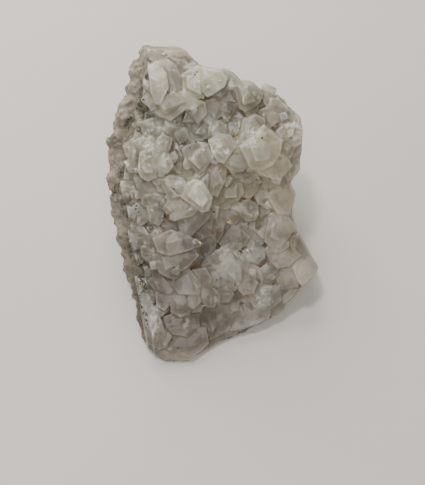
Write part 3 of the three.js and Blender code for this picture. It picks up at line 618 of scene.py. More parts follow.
def cell_outline(heart, others):
    """The corners of the places that are nearer to a heart than to any other."""
    corners = heart + np.array([(-1, -1), (1, -1), (1, 1), (-1, 1)]) * CELL_REACH
    for other in others[np.hypot(*(others - heart).T) < NEIGHBOUR_REACH]:
        normal = unit(other - heart)
        side = (corners - (heart + other) / 2) @ normal
        kept = []
        for i, corner in enumerate(corners):
            after = (i + 1) % len(corners)
            if side[i] <= 0:
                kept.append(corner)
            if side[i] * side[after] < 0:
                kept.append(corner + (corners[after] - corner) * side[i] / (side[i] - side[after]))
        corners = np.array(kept)
    return corners


def small_hearts(rng):
    """Places for the small crystals, spread over the face with uneven room between them."""
    hearts = np.empty((0, 3))
    for _ in range(SMALL_TRIES):
        room = rng.uniform(*SMALL_ROOM)
        place = rng.uniform((108, 50), (318, 362))
        outward = unit(place - FACE_MIDDLE)
        if not inside(EDGE, *(place + outward * EDGE_MARGIN)) or place[0] < seam_x(place[1]) + SEAM_MARGIN:
            continue
        if len(hearts) and (np.hypot(*(hearts[:, :2] - place).T) < (hearts[:, 2] + room) / 2).any():
            continue
        hearts = np.vstack([hearts, [*place, room]])
    return hearts[:, :2]


def on_end_face(x, y, depth):
    """Whether a place at a depth is on the end face of a large crystal."""
    for _, top, _, end, outline in LARGE:
        ring = end + (np.array(outline, float).reshape(-1, 2) - end) * END_SHARE
        if abs(depth - top) < END_REACH and inside(ring, x, y):
            return True
    return False


def small_crystals(surface, rng):
    """Small crystals, packed side by side over what the large ones leave bare."""
    shapes = []
    xs, ys, depth, cover = relief_of(surface)
    hearts = small_hearts(rng)
    for index, heart in enumerate(hearts):
        column = np.abs(xs - heart[0]).argmin()
        row = np.abs(ys - heart[1]).argmin()
        low, deep = depth[row, column], cover[row, column] - depth[row, column]
        bare = any(
            ((heart[0] - x) / across) ** 2 + ((heart[1] - y) / down) ** 2 < 1
            for x, y, across, down in BARE
        )
        if bare or on_end_face(*heart, low) or not deep > THINNEST:
            continue
        outline = cell_outline(heart, np.delete(hearts, index, axis=0))
        outline[:, 0] = np.maximum(outline[:, 0], seam_x(outline[:, 1]) + 2)
        reach = math.sqrt(np.ptp(outline[:, 0]) * np.ptp(outline[:, 1])) / 2
        top = low + deep * rng.uniform(0.7, 1.0)
        slope = (rng.uniform(-0.35, 0.35), rng.uniform(-0.1, 0.5))
        row = (top - RIM_THICKNESS, top, 0, heart, outline)
        shapes.append(shield(row, rng, reach / FULL_REACH, 2.0 + deep, (0, 3), slope))
    return shapes


def side_crystals(surface, rng):
    """Small crystals on the sides, which barely stand out of them."""
    shapes = []
    for point, normal in side_spots(surface, SIDE_TRIES, (-75, 100), rng):
        if normal @ OUT_OF_FACE > 0.5:
            continue
        half = rng.uniform(0.6, 1.5)
        axis = unit(normal + random_direction(rng) * 0.35)
        tip = point + axis * rng.uniform(0.1, 0.5)
        shape = crystal(tip, axis, half, half * 1.6, rng, rng.uniform(1, 1.6))
        if all(inside(EDGE, x, y) for x, y in zip(*grid_place(shape[0])[:2])):
            shapes.append(shape)
    return shapes


def planes_of(shape):
    """The planes of a convex shape's faces: outward normals and distances, each plane once."""
    vertices, faces = shape
    middle = vertices.mean(0)
    planes = {}
    for face in faces:
        a, b, c = (vertices[i] for i in face[:3])
        normal = np.cross(b - a, c - a)
        size = np.linalg.norm(normal)
        if size < 1e-9:
            continue
        normal /= size
        if normal @ (a - middle) < 0:
            normal = -normal
        planes[tuple(np.round(normal, 2))] = (normal, normal @ a)
    return np.array([p[0] for p in planes.values()]), np.array([p[1] for p in planes.values()])


def make_crystals():
    """The crystals as one mesh, and the shape of each."""
    rng = np.random.default_rng(3)
    body = copy_of("apophyllite_crystals", "crystals")
    large = [shield(row, rng) for row in LARGE]
    obj = joined("crystal_cluster", [body, many("large", large)])
    surface = surface_of(obj)
    fine = small_crystals(surface, rng) + side_crystals(surface, rng)
    obj = joined("crystal_cluster", [obj, many("fine", fine)])
    remesh(obj, CRYSTAL_VOXEL)
    return obj, large + fine


EVEN_REACH = 11  # grid steps over which the face is evened out
FLATTENED = (0.32, 0.48)  # share of the crystals' relief that is taken off, high and low on the face
FLATTENED_ROWS = (200, 240)  # the grid y of high and low on the face
FLATTENED_MOST = 1.8
FLATTENED_DEEP = 4  # how far below the even face it starts to fade; at twice that it is gone
FACETS = ((3.4, 0.06, 7), (1.7, 0.03, 8), (1.0, 0.018, 9))  # size, depth and seed


def relief_marks(obj, rounds):
    """How deep in a crevice each point lies, in mm, or how far out on a ridge where it is negative."""
    points, normals = points_of(obj), normals_of(obj)
    ends = np.empty(len(obj.data.edges) * 2, np.int32)
    obj.data.edges.foreach_get("vertices", ends)
    one, other = ends.reshape(-1, 2).T
    count = np.bincount(ends, minlength=len(points))
    smooth = points.copy()
    for _ in range(rounds):
        total = np.zeros_like(points)
        for axis in range(3):
            total[:, axis] = np.bincount(one, smooth[other, axis], len(points))
            total[:, axis] += np.bincount(other, smooth[one, axis], len(points))
        smooth = total / count[:, None]
    return ((smooth - points) * normals).sum(1)


def flatten(obj):
    """Draws the crystals in towards the even face that they make up."""
    points = points_of(obj)
    xs, ys, depth, _ = relief_of(surface_of(obj))
    known = ~np.isnan(depth)
    even, weight = np.where(known, depth, 0), known.astype(float)
    for axis, count in ((0, len(ys)), (1, len(xs))):
        spread = np.exp(-(((np.arange(count)[:, None] - np.arange(count)) * RELIEF_STEP / EVEN_REACH) ** 2))
        even = np.moveaxis(np.tensordot(spread, even, (1, axis)), 0, axis)
        weight = np.moveaxis(np.tensordot(spread, weight, (1, axis)), 0, axis)
    even /= np.maximum(weight, 1e-9)
    x, y, w = grid_place(points)
    column = np.clip((x - xs[0]) / RELIEF_STEP, 0, len(xs) - 1.001)
    row = np.clip((y - ys[0]) / RELIEF_STEP, 0, len(ys) - 1.001)
    left, upper = column.astype(int), row.astype(int)
    across, down = column - left, row - upper
    level = (even[upper, left] * (1 - across) + even[upper, left + 1] * across) * (1 - down)
    level += (even[upper + 1, left] * (1 - across) + even[upper + 1, left + 1] * across) * down
    above = w - level
    fade = np.clip(1 - (-above - FLATTENED_DEEP) / FLATTENED_DEEP, 0, 1)
    share = np.interp(y, FLATTENED_ROWS, FLATTENED)
    sunk = np.clip(-above * share, -FLATTENED_MOST, FLATTENED_MOST)
    points += OUT_OF_FACE * (sunk * fade)[:, None]
    move_points(obj, points)


def grow_facets(obj):
    """Growth steps and chips: the surface breaks into small, slightly tilted facets."""
    points, normals = points_of(obj), normals_of(obj)
    calm = np.clip(SmoothField(9.0, 5).sample(points) * 1.6 + 0.3, 0, 1)
    shift = np.zeros(len(points))
    for size, depth, seed in FACETS:
        values, offset = CellField(size, seed, (1.0, 1.3, 0.8)).sample(points)
        tilt = (values[:, 1:] * offset).sum(1)
        shift += depth * (0.3 + 0.7 * (1 - calm)) * (values[:, 0] * 0.5 + tilt)
    points += normals * np.clip(shift, -0.5, 0.4)[:, None]
    move_points(obj, within_cad(points))


# ---- the crust ----

BALL_RINGS, BALL_STEPS = 6, 10


def ball(centre, radius, flat, axis, rng):
    """A flattened ball."""
    points = [[0, 0, 1], [0, 0, -1]]
    faces = []
    for ring in range(1, BALL_RINGS):
        polar = math.pi * ring / BALL_RINGS
        for step in range(BALL_STEPS):
            turn = 2 * math.pi * step / BALL_STEPS
            across = math.sin(polar)
            points.append([across * math.cos(turn), across * math.sin(turn), math.cos(polar)])
    last = 2 + (BALL_RINGS - 2) * BALL_STEPS
    for step in range(BALL_STEPS):
        after = (step + 1) % BALL_STEPS
        faces.append([0, 2 + step, 2 + after])
        faces.append([1, last + after, last + step])
        for start in range(2, last, BALL_STEPS):
            below = start + BALL_STEPS
            faces.append([start + step, below + step, below + after, start + after])
    shape = np.array(points) * [radius, radius * rng.uniform(0.75, 1), radius * flat]
    return shape @ turned_to(axis, rng.uniform(0, math.pi)).T + centre, faces


CRUST_VOXEL = 0.42
CRUST_TRIANGLES = 120_000
CRUST_TRIES, CRUST_SIDE_TRIES = 5200, 1500
CRUST_RADII, CRUST_SHARES = (0.5, 0.75, 1.1, 1.7), (0.45, 0.3, 0.18, 0.07)
CRUST_LUMPS = ((3.2, 20, 0.3), (1.5, 21, 0.25), (0.8, 22, 0.2))  # size, seed and depth
SEATING = 0.3  # how far the crust is swollen where it meets the crystals
SEATING_REACH = 1.5
RUBBLE_TRIES = 1300
RUBBLE_TOP, RUBBLE_BOTTOM = 47, 345
RUBBLE_PROUD = 1.5  # how much higher the rubble stands low on the seam

# The largest knobs of the crust that face the eye: grid x and y, and radius.
KNOBS = [
    (113, 131, 1.7), (112, 142, 1.9), (125, 104, 1.2), (131, 110, 1.3), (113, 160, 1.2), (110, 178, 1.1),
    (124, 92, 1.0), (119, 118, 1.1), (113, 196, 0.9), (117, 222, 1.0), (122, 246, 0.9), (127, 270, 1.0),
]


def rubble(crust, crystals, rng):
    """Broken grains that fill the seam between the crust and the crystals."""
    shapes = []
    for _ in range(RUBBLE_TRIES):
        y = rng.uniform(RUBBLE_TOP, RUBBLE_BOTTOM)
        share = rng.random()
        left, right = on_face(crust, seam_x(y) - 7, y), on_face(crystals, seam_x(y) + 8, y)
        if left is None or right is None:
            continue
        depths = (np.array([left, right]) - FACE_ORIGIN) @ OUT_OF_FACE
        proud = RUBBLE_PROUD * np.clip((y - 262) / 10, 0, 1) * np.clip((322 - y) / 10, 0, 1)
        depth = depths[0] + (depths[1] - depths[0]) * share - rng.uniform(0.3, 1.3) + proud
        place = seen(seam_x(y) - 6 + 12 * share, y, depth)
        shapes.append(ball(place, rng.uniform(0.35, 1.0), 0.9, random_direction(rng), rng))
    return shapes


def make_crust():
    """The crust as one mesh: the CAD solid with knobs, rubble in the seam, and lumps."""
    rng = np.random.default_rng(12)
    body = copy_of("chalcedony_crust", "crust")
    surface = surface_of(body)
    crystals = surface_of(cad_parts["apophyllite_crystals"])
    shapes = []
    spots = face_spots(surface, CRUST_TRIES, rng) + side_spots(surface, CRUST_SIDE_TRIES, (85, 250), rng)
    for point, normal in spots:
        radius = rng.choice(CRUST_RADII, p=CRUST_SHARES) * rng.uniform(0.8, 1.2)
        nearest = crystals.find_nearest(Vector(point))
        if nearest[3] < radius * 0.7 + 0.5:
            continue
        shapes.append(ball(point - normal * radius * 0.35, radius, 0.85, normal, rng))
    for x, y, radius in KNOBS:
        spot = on_face(surface, x, y)
        if spot is not None:
            shapes.append(ball(spot - OUT_OF_FACE * radius * 0.3, radius, 0.9, OUT_OF_FACE, rng))
    obj = joined("crust", [body, many("knobs", shapes + rubble(surface, crystals, rng))])
    remesh(obj, CRUST_VOXEL)
    points, normals = points_of(obj), normals_of(obj)
    lumps = sum(SmoothField(size, seed).sample(points) * depth for size, seed, depth in CRUST_LUMPS)
    near = np.array([crystals.find_nearest(Vector(point), SEATING_REACH)[0] is not None for point in points])
    points += normals * (lumps + near * SEATING)[:, None]
    move_points(obj, within_cad(points))
    thin_to(obj, CRUST_TRIANGLES)
    obj.name = "chalcedony_crust_detail"
    return obj


# ---- materials ----


class Nodes:
    """A new material and short ways to fill its tree."""

    def __init__(self, name):
        self.material = bpy.data.materials.new(name)
        self.material.use_nodes = True
        self.tree = self.material.node_tree
        self.tree.nodes.clear()

    def add(self, kind, settings=None, **inputs):
        """A new node with its settings, and numbers or links for its inputs."""
        node = self.tree.nodes.new(kind)
        for key, value in (settings or {}).items():
            setattr(node, key, value)
        for key, value in inputs.items():
            self.put(node.inputs[key.replace("_", " ")], value)
        return node

    def put(self, socket, value):
        """Links another node's output to an input, or sets it to a value."""
        if isinstance(value, bpy.types.NodeSocket):
            self.tree.links.new(value, socket)
        else:
            socket.default_value = value

    def noise(self, scale, detail=3.0, roughness=0.55, distortion=0.0):
        place = self.add("ShaderNodeTexCoord").outputs["Object"]
        node = self.add("ShaderNodeTexNoise", Vector=place, Scale=scale, Detail=detail, Roughness=roughness)
        node.inputs["Distortion"].default_value = distortion
        return node.outputs["Fac"]

    def facets(self, scale):
        """Heights of small flat facets, each leaning its own way."""
        place = self.add("ShaderNodeTexCoord").outputs["Object"]
        cell = self.add("ShaderNodeTexVoronoi", Vector=place, Scale=scale)
        offset = self.vector("SUBTRACT", place, cell.outputs["Position"])
        lean = self.vector("SUBTRACT", cell.outputs["Color"], (0.5, 0.5, 0.5))
        return self.vector("DOT_PRODUCT", offset.outputs[0], lean.outputs[0]).outputs["Value"]

    def operate(self, kind, operation, a, b):
        node = self.add(kind, {"operation": operation})
        self.put(node.inputs[0], a)
        self.put(node.inputs[1], b)
        return node

    def vector(self, operation, a, b):
        return self.operate("ShaderNodeVectorMath", operation, a, b)

    def attribute(self, name, output="Fac"):
        return self.add("ShaderNodeAttribute", {"attribute_name": name}).outputs[output]

    def ramp(self, value, low, high, start=0.0, end=1.0):
        """Turns the stretch from low to high into the one from start to end, and holds beyond it."""
        node = self.add("ShaderNodeMapRange", {"clamp": True}, Value=value)
        for key, number in (("From Min", low), ("From Max", high), ("To Min", start), ("To Max", end)):
            node.inputs[key].default_value = number
        return node.outputs["Result"]

    def math(self, operation, a, b):
        return self.operate("ShaderNodeMath", operation, a, b).outputs[0]

    def times(self, a, b):
        return self.math("MULTIPLY", a, b)

    def total(self, *terms):
        """The sum of some values, each times a number."""
        parts = [self.times(value, factor) for value, factor in terms]
        total = parts[0]
        for part in parts[1:]:
            total = self.math("ADD", total, part)
        return total

    def mix(self, share, a, b):
        node = self.add("ShaderNodeMix", {"data_type": "RGBA"})
        self.put(node.inputs["Factor"], share)
        for key, colour in (("A", a), ("B", b)):
            self.put(node.inputs[key], (*colour, 1) if isinstance(colour, tuple) else colour)
        return node.outputs["Result"]

    def bump(self, height, distance, strength=1.0, normal=None):
        node = self.add("ShaderNodeBump", Height=height, Distance=distance, Strength=strength)
        if normal is not None:
            self.put(node.inputs["Normal"], normal)
        return node.outputs["Normal"]

    def finish(self, shader, volume=None):
        output = self.add("ShaderNodeOutputMaterial", Surface=shader.outputs[0])
        if volume is not None:
            self.put(output.inputs["Volume"], volume.outputs[0])
        return self.material


APOPHYLLITE_IOR = 1.536

# Named tints of the crystals, as linear colours.
WARM = (0.91, 0.845, 0.665)
GREY = (0.81, 0.78, 0.665)
COOL = (0.79, 0.795, 0.675)
VIOLET = (0.68, 0.63, 0.625)
BROWN = (0.87, 0.76, 0.60)
PALE = (0.98, 0.925, 0.78)
MILK = (0.97, 0.93, 0.83)
DEEP = (0.58, 0.57, 0.46)
# The white of chipped faces, partly a painted glint.
CHIP_WHITE_AND_GLINT = (1.0, 0.985, 0.95)
# Painted shade for the crevices between crystals, and the real dark stain along the seam.
CREVICE_SHADE_AND_STAIN = (0.39, 0.355, 0.275)
DIRT = (0.26, 0.25, 0.17)


def crystal_material():
    """Clear, with milky, frosted, chipped and dirty places that scatter the light instead; painted shade
    darkens its crevices, painted highlights lighten its rims, and its chips are whitened, partly as painted
    glints.
    """
    n = Nodes("apophyllite")
    frost, edge, milk = n.attribute("frost"), n.attribute("edge"), n.attribute("milk")
    # Painted shade: the crevices between crystals are darkened, more in some patches than in others.
    cleft_shade = n.times(n.attribute("cleft_shade"), n.ramp(n.noise(160, 2), 0.35, 0.65, 0.08, 0.65))
    veil = n.ramp(n.noise(170, 5, 0.6, 0.8), 0.38, 0.68)
    cloud = n.ramp(n.noise(480, 5, 0.7, 0.5), 0.40, 0.64)
    fleck = n.ramp(n.noise(1300, 3, 0.65), 0.47, 0.68)
    chip = n.times(frost, n.ramp(n.noise(430, 4, 0.7, 0.6), 0.48, 0.54))
    colour = n.mix(n.times(veil, 0.3), n.attribute("tint", "Color"), PALE)
    colour = n.mix(n.times(cloud, 0.38), colour, DEEP)
    colour = n.mix(n.times(fleck, 0.3), colour, MILK)
    colour = n.mix(n.times(frost, 0.3), colour, DEEP)
    # painted highlight: ridges and crystal rims are lightened, standing in for light that shines through the
    # thin edges
    colour = n.mix(n.times(edge, 0.6), colour, PALE)
    # white chips: partly the real whiteness of chipped faces, partly painted glints
    colour = n.mix(n.times(chip, 0.95), colour, CHIP_WHITE_AND_GLINT)
    # painted shade in the crevices
    colour = n.mix(cleft_shade, colour, CREVICE_SHADE_AND_STAIN)
    cloudy = n.total((milk, 0.45), (veil, 0.12), (chip, 0.7), (edge, 0.25))
    clear = n.ramp(cloudy, 0, 1, 0.97, 0.3)
    rough = n.ramp(n.noise(420, 4), 0.35, 0.65, 0.29, 0.36)
    rough = n.math("SUBTRACT", rough, n.times(chip, 0.1))
    normal = n.bump(n.facets(420), 1.0, 0.22)
    normal = n.bump(n.facets(1150), 1.0, n.ramp(frost, 0, 1, 0.12, 1.0), normal)
    normal = n.bump(n.noise(2600, 3), 0.00005, 0.35, normal)
    shader = n.add("ShaderNodeBsdfPrincipled", {"subsurface_method": "RANDOM_WALK"}, Base_Color=colour)
    shader.inputs["IOR"].default_value = APOPHYLLITE_IOR
    shader.inputs["Subsurface Weight"].default_value = 0.8
    shader.inputs["Subsurface Radius"].default_value = (1.0, 0.9, 0.75)
    shader.inputs["Subsurface Scale"].default_value = 0.004
    shader.inputs["Coat Roughness"].default_value = 0.08
    n.put(shader.inputs["Coat Weight"], chip)
    n.put(shader.inputs["Roughness"], rough)
    n.put(shader.inputs["Transmission Weight"], clear)
    n.put(shader.inputs["Normal"], normal)
    volume = n.add("ShaderNodeVolumeAbsorption")
    volume.inputs["Color"].default_value = (0.81, 0.77, 0.635, 1)
    volume.inputs["Density"].default_value = 95
    return n.finish(shader, volume)


def crust_material():
    """Dull, blotchy stone, with painted shade in its small pits, darker where it is grimy, and darker low
    down as painted shade.
    """
    n = Nodes("chalcedony")
    grime_and_shade = n.attribute("grime_and_shade")
    blotch = n.ramp(n.noise(140, 5, 0.6), 0.35, 0.68)
    fine = n.ramp(n.noise(1100, 4, 0.6), 0.4, 0.7)
    colour = n.mix(blotch, (0.145, 0.12, 0.092), (0.285, 0.243, 0.185))
    colour = n.mix(n.times(fine, 0.6), colour, (0.43, 0.375, 0.30))
    # painted shade: small near-black spots that stand for the dark inside pits
    colour = n.mix(n.ramp(n.noise(800, 5, 0.75), 0.54, 0.66, 0, 0.65), colour, (0.08, 0.075, 0.055))
    # darker where grimy, and low down as painted shade
    colour = n.mix(n.times(grime_and_shade, 0.8), colour, (0.07, 0.07, 0.045))
    rough = n.ramp(n.noise(600, 3), 0.35, 0.65, 0.45, 0.7)
    normal = n.bump(n.noise(1500, 5, 0.6), 0.00025, 0.7)
    shader = n.add("ShaderNodeBsdfPrincipled", Base_Color=colour, Roughness=rough)
    shader.inputs["Subsurface Weight"].default_value = 0.35
    shader.inputs["Subsurface Radius"].default_value = (1.0, 0.8, 0.6)
    shader.inputs["Subsurface Scale"].default_value = 0.0012
    n.put(shader.inputs["Normal"], normal)
    return n.finish(shader)


def grain_material(name, dark, light, roughness):
    """Dull, and mottled between two colours."""
    n = Nodes(name)
    colour = n.mix(n.ramp(n.noise(900, 4), 0.35, 0.65), dark, light)
    normal = n.bump(n.noise(3500, 3), 0.0001, 0.6)
    shader = n.add("ShaderNodeBsdfPrincipled", Base_Color=colour)
    shader.inputs["Roughness"].default_value = roughness
    n.put(shader.inputs["Normal"], normal)
    return n.finish(shader)


def floor_material():
    n = Nodes("table")
    colour = n.mix(n.ramp(n.noise(6, 4), 0.4, 0.6), (0.53, 0.508, 0.487), (0.55, 0.527, 0.505))
    shader = n.add("ShaderNodeBsdfPrincipled", Base_Color=colour)
    shader.inputs["Roughness"].default_value = 0.55
    return n.finish(shader)


# ---- painting ----

MARK_REACH = 1.6  # how far from a crystal a point may lie and still be its own
WANDER = 6  # how far the patches stray from their places, in grid steps
LIGHTER, WARMER = 0.14, 0.05  # how far crystals differ from each other
SEAM_STAIN, DIRT_STAIN = 0.9, 0.85
RELIEF_ROUNDS = 14

# Soft patches of colour on the face, a few of them painted light and shade as marked: grid x, y, radius
# across and down, tint and strength.
TINTS_AND_PAINTED_LIGHT = [
    (170, 75, 45, 40, WARM, 0.7),
    (174, 106, 22, 14, (0.74, 0.67, 0.54), 0.85),
    (215, 88, 18, 12, PALE, 0.8),
    (205, 92, 14, 8, WARM, 0.9),
    (250, 100, 40, 22, GREY, 0.6),
    (262, 150, 42, 30, WARM, 0.8),
    (175, 130, 28, 16, COOL, 0.8),
    (205, 130, 25, 18, COOL, 0.5),
    # painted light: lighter under the step, which lies in the shadow of the overhang above it
    (248, 186, 36, 19, (1.0, 0.90, 0.72), 0.85),
    (198, 196, 15, 18, (1.0, 0.94, 0.81), 0.85),
    (160, 205, 25, 22, WARM, 0.5),
    (150, 200, 10, 8, COOL, 0.8),
    (215, 240, 25, 16, VIOLET, 0.7),
    (250, 240, 30, 20, COOL, 0.6),
    (170, 262, 24, 12, COOL, 0.5),
    (180, 285, 35, 22, VIOLET, 0.6),
    (225, 300, 25, 20, VIOLET, 0.8),
    (250, 285, 26, 20, WARM, 0.5),
    (275, 300, 25, 18, GREY, 0.6),
    # the broken foot: brown its own tone, and made much darker as painted shade, since it faces away from
    # the light
    (190, 335, 45, 25, BROWN, 0.6),
    (190, 340, 44, 26, (0.49, 0.39, 0.335), 0.9),
    (205, 325, 14, 8, (0.70, 0.60, 0.55), 0.5),
    (262, 290, 34, 22, PALE, 0.4),
    # painted glow along the lower edges of two crystals, where light shines through them
    (208, 94, 18, 5, (1.0, 0.93, 0.66), 0.7),
    (263, 163, 16, 5, (1.0, 0.94, 0.74), 0.6),
    (170, 56, 34, 13, (0.55, 0.48, 0.38), 0.9),
    (208, 84, 20, 14, (1.0, 0.94, 0.69), 0.9),
    # painted light: the kite-shaped crystal is lightened, though its tilted face lies in shade
    (160, 84, 15, 20, (1.0, 0.93, 0.78), 1.0),
    (292, 135, 15, 42, (0.58, 0.55, 0.47), 0.85),
    (262, 106, 38, 22, (0.40, 0.375, 0.30), 0.9),
    (274, 284, 32, 28, (1.0, 0.93, 0.85), 0.75),
    (141, 284, 7, 15, (0.40, 0.36, 0.32), 0.95),
    (143, 308, 6, 14, (0.55, 0.51, 0.42), 0.8),
    (229, 262, 16, 14, (1.0, 0.95, 0.87), 0.8),
    (212, 240, 24, 14, (0.47, 0.42, 0.38), 0.85),
    (290, 247, 4, 2, (0.25, 0.24, 0.12), 0.9),
]

# Chipped and frosted places, which are whitened, partly as painted glints: grid x, y, radius across and
# down, and strength.
FROSTS = [
    (150, 155, 12, 9, 1.0),
    (166, 162, 9, 7, 0.9),
    (134, 164, 6, 6, 0.7),
    (164, 51, 7, 4, 1.0),
    (291, 128, 10, 18, 0.9),
    (257, 98, 8, 7, 0.7),
    (214, 150, 10, 6, 0.8),
    (228, 152, 8, 7, 0.5),
    (258, 131, 7, 4, 0.9),
    (150, 250, 14, 12, 0.5),
    (198, 204, 8, 4, 0.9),
    (252, 212, 8, 5, 0.9),
    (240, 256, 8, 8, 0.4),
    (180, 322, 16, 8, 0.5),
    (262, 295, 16, 14, 0.5),
    (155, 325, 8, 24, 0.6),
    (215, 183, 6, 6, 0.5),
]

# Dark green grains in the seam: from one grid place to another, how wide the band is, and how many.
SEAM_GRAINS = [
    (147, 75, 146, 79, 1.5, 9),
    (141, 93, 142, 101, 2.5, 10),
    (140, 104, 141, 108, 2, 6),
    (139, 108, 148, 119, 5, 34),
    (131, 116, 127, 128, 5, 14),
    (123, 165, 119, 184, 3, 22),
    (116, 187, 113, 195, 1.5, 6),
    (122, 203, 129, 224, 3, 24),
    (127, 234, 131, 256, 3, 30),
    (137, 260, 141, 266, 3, 12),
    (138, 274, 147, 290, 4, 34),
    (137, 292, 146, 322, 2.5, 26),
    (146, 312, 148, 330, 1.5, 6),
    (152, 230, 131, 200, 6, 12),
]


def owners_of(points, shapes):
    """For each point, which crystal it is on."""
    nearest = np.full(len(points), MARK_REACH)
    owner = np.full(len(points), -1)
    for index, shape in enumerate(shapes):
        low, high = shape[0].min(0) - MARK_REACH, shape[0].max(0) + MARK_REACH
        close = np.flatnonzero(((points > low) & (points < high)).all(1))
        normals, distances = planes_of(shape)
        away = (points[close] @ normals.T - distances).max(1)
        closer = away < nearest[close]
        owner[close[closer]] = index
        nearest[close] = np.minimum(nearest[close], away)
    return owner


def write_values(obj, name, values):
    """Gives each point of an object a number, which its material reads by name."""
    obj.data.attributes.new(name, "FLOAT", "POINT").data.foreach_set("value", values)


def fading(x, y, middle_x, middle_y, across, down):
    """How far grid places belong to a soft patch: 1 at its middle, less and less round it."""
    return np.exp(-(((x - middle_x) / across) ** 2) - ((y - middle_y) / down) ** 2)


def dirt_of(points):
    """How dirty points are with the dark dust that lies round the seam's grains."""
    x, y, _ = grid_place(points)
    dirt = np.zeros(len(points))
    for x0, y0, x1, y1, wide, _ in SEAM_GRAINS:
        along = ((x - x0) * (x1 - x0) + (y - y0) * (y1 - y0)) / ((x1 - x0) ** 2 + (y1 - y0) ** 2)
        along = np.clip(along, 0, 1)
        away = np.hypot(x - x0 - (x1 - x0) * along, y - y0 - (y1 - y0) * along)
        dirt = np.maximum(dirt, np.exp(-((away / (wide + 1)) ** 2)))
    return dirt * np.clip(SmoothField(0.9, 39).sample(points) * 2.2 + 0.5, 0, 1)


def paint_crystals(obj, owner):
    """Gives each point its tint, some of it painted light and shade, and how frosted and milky it is, how
    far out on an edge it is for a painted highlight, and how deep in a crevice for painted shade.
    """
    points = points_of(obj)
    x, y, _ = grid_place(points)
    x, y = (at + SmoothField(5.0, seed).sample(points) * WANDER for at, seed in ((x, 31), (y, 32)))
    # Warm above and violet below: the crystals' own tones, but the violet is darker too, partly as painted
    # shade of light that falls off down the face.
    lower = np.clip((y - 190) / 60, 0, 1)[:, None]
    tint = np.array(WARM) * (1 - lower) + np.array(VIOLET) * lower
    for px, py, across, down, colour, strength in TINTS_AND_PAINTED_LIGHT:
        share = strength * fading(x, y, px, py, across, down)[:, None]
        tint = tint * (1 - share) + np.array(colour) * share
    frost = np.zeros(len(points))
    for px, py, across, down, strength in FROSTS:
        frost = np.maximum(frost, strength * fading(x, y, px, py, across, down))
    values, _ = CellField(1.4, 33).sample(points)
    frost *= np.clip(0.6 + 0.8 * values[:, 0], 0, 1.3)
    whole = np.random.default_rng(34).uniform(-1, 1, (owner.max() + 2, 2))[owner]
    tint *= (1 + LIGHTER * whole[:, :1]) * (1 + np.array([WARMER, 0.0, -WARMER]) * whole[:, 1:2])
    seam = np.clip(1.35 - np.abs(x - seam_x(y) - 4) / 14, 0, 1)
    for size, seed in ((2.5, 37), (0.8, 38)):
        seam *= np.clip(SmoothField(size, seed).sample(points) * 1.5 + 0.6, 0, 1)
    tint = tint * (1 - SEAM_STAIN * seam[:, None]) + np.array(CREVICE_SHADE_AND_STAIN) * SEAM_STAIN * seam[:, None]
    dirt = dirt_of(points)[:, None] * DIRT_STAIN
    tint = tint * (1 - dirt) + np.array(DIRT) * dirt
    colours = obj.data.color_attributes.new("tint", "FLOAT_COLOR", "POINT")
    colours.data.foreach_set("color", np.hstack([tint, np.ones((len(points), 1))]).ravel())
    write_values(obj, "frost", np.clip(frost, 0, 1))
    sunk = relief_marks(obj, RELIEF_ROUNDS)
    # how far out on a ridge each point lies, for the painted highlight on the rims
    write_values(obj, "edge", np.clip(-sunk / 0.12 - 0.15, 0, 1))
    # how deep in a crevice each point lies, for the painted shade there
    write_values(obj, "cleft_shade", np.clip(sunk / 0.2 - 0.35, 0, 1))
    small = np.clip(0.35 + 0.25 * np.random.default_rng(35).normal(size=owner.max() + 2), 0, 1)
    small[: len(LARGE)] = [row[2] for row in LARGE]
    # Less milky, and so darker, low on the face: painted shade of light that falls off down the face.
    milk = small[owner] * (1 - 0.3 * lower[:, 0]) + SmoothField(3.5, 36).sample(points) * 0.15
    write_values(obj, "milk", np.clip(milk + dirt[:, 0] * 1.5, 0, 1))


def paint_crust(obj):
    """Gives each point how grimy it is, near the seam and in patches, and how much painted shade darkens it
    low down.
    """
    points = points_of(obj)
    x, y, _ = grid_place(points)
    near = np.clip(1 - np.abs(seam_x(y) - x) / 9, 0, 1)
    patch = np.clip(SmoothField(3.0, 41).sample(points) * 1.8 + 0.45, 0, 1)
    low = np.clip(SmoothField(6.0, 42).sample(points) * 1.5 - 0.2, 0, 1) * 0.4
    glassy = fading(x, y, 111, 137, 5, 11) * 0.8
    # The last term darkens the crust towards the bottom: painted shade of light that falls off down the
    # face.
    grime_and_shade = near * patch + low + glassy + np.clip((y - 200) / 80, 0, 1) * 0.55
    write_values(obj, "grime_and_shade", np.clip(np.maximum(grime_and_shade, dirt_of(points)), 0, 1))


# ---- grains ----

# Single dark specks: grid x and y.
SPECKS = [
    (185,57), (181,58), (181,62), (187,61), (193,77), (195,75), (197,72), (167,92), (172,90),
    (181,89), (198,108), (237,135), (262,138), (168,187), (174,189), (162,218), (174,267),
    (174,361), (248,290), (235,285), (217,280), (213,287), (228,122), (190,148), (196,142),
    (183,200), (214,212), (248,224), (270,216), (290,247), (178,348), (172,340), (209,97),
]

# Ochre specks: grid x and y, and size.
OCHRES = [
    (220, 171, 0.8), (229, 222, 0.9), (200, 243, 0.8), (248, 251, 0.6), (220, 81, 0.8), (203, 130, 0.5),
    (231, 223, 0.6), (213, 255, 0.5), (228, 121, 0.6),
]

GRAIN_SIZES, SPECK_SIZES = (0.14, 0.38), (0.2, 0.36)
GRAIN_POINTS = 26
OCHRE_LUMPS = 4


def grain(centre, size, rng):
    """A small, rough, angular lump."""
    points = [random_direction(rng) * size * rng.uniform(0.7, 1.15) for _ in range(GRAIN_POINTS)]
    return hull(np.array(points) * rng.uniform(0.65, 1.1, 3) + centre)


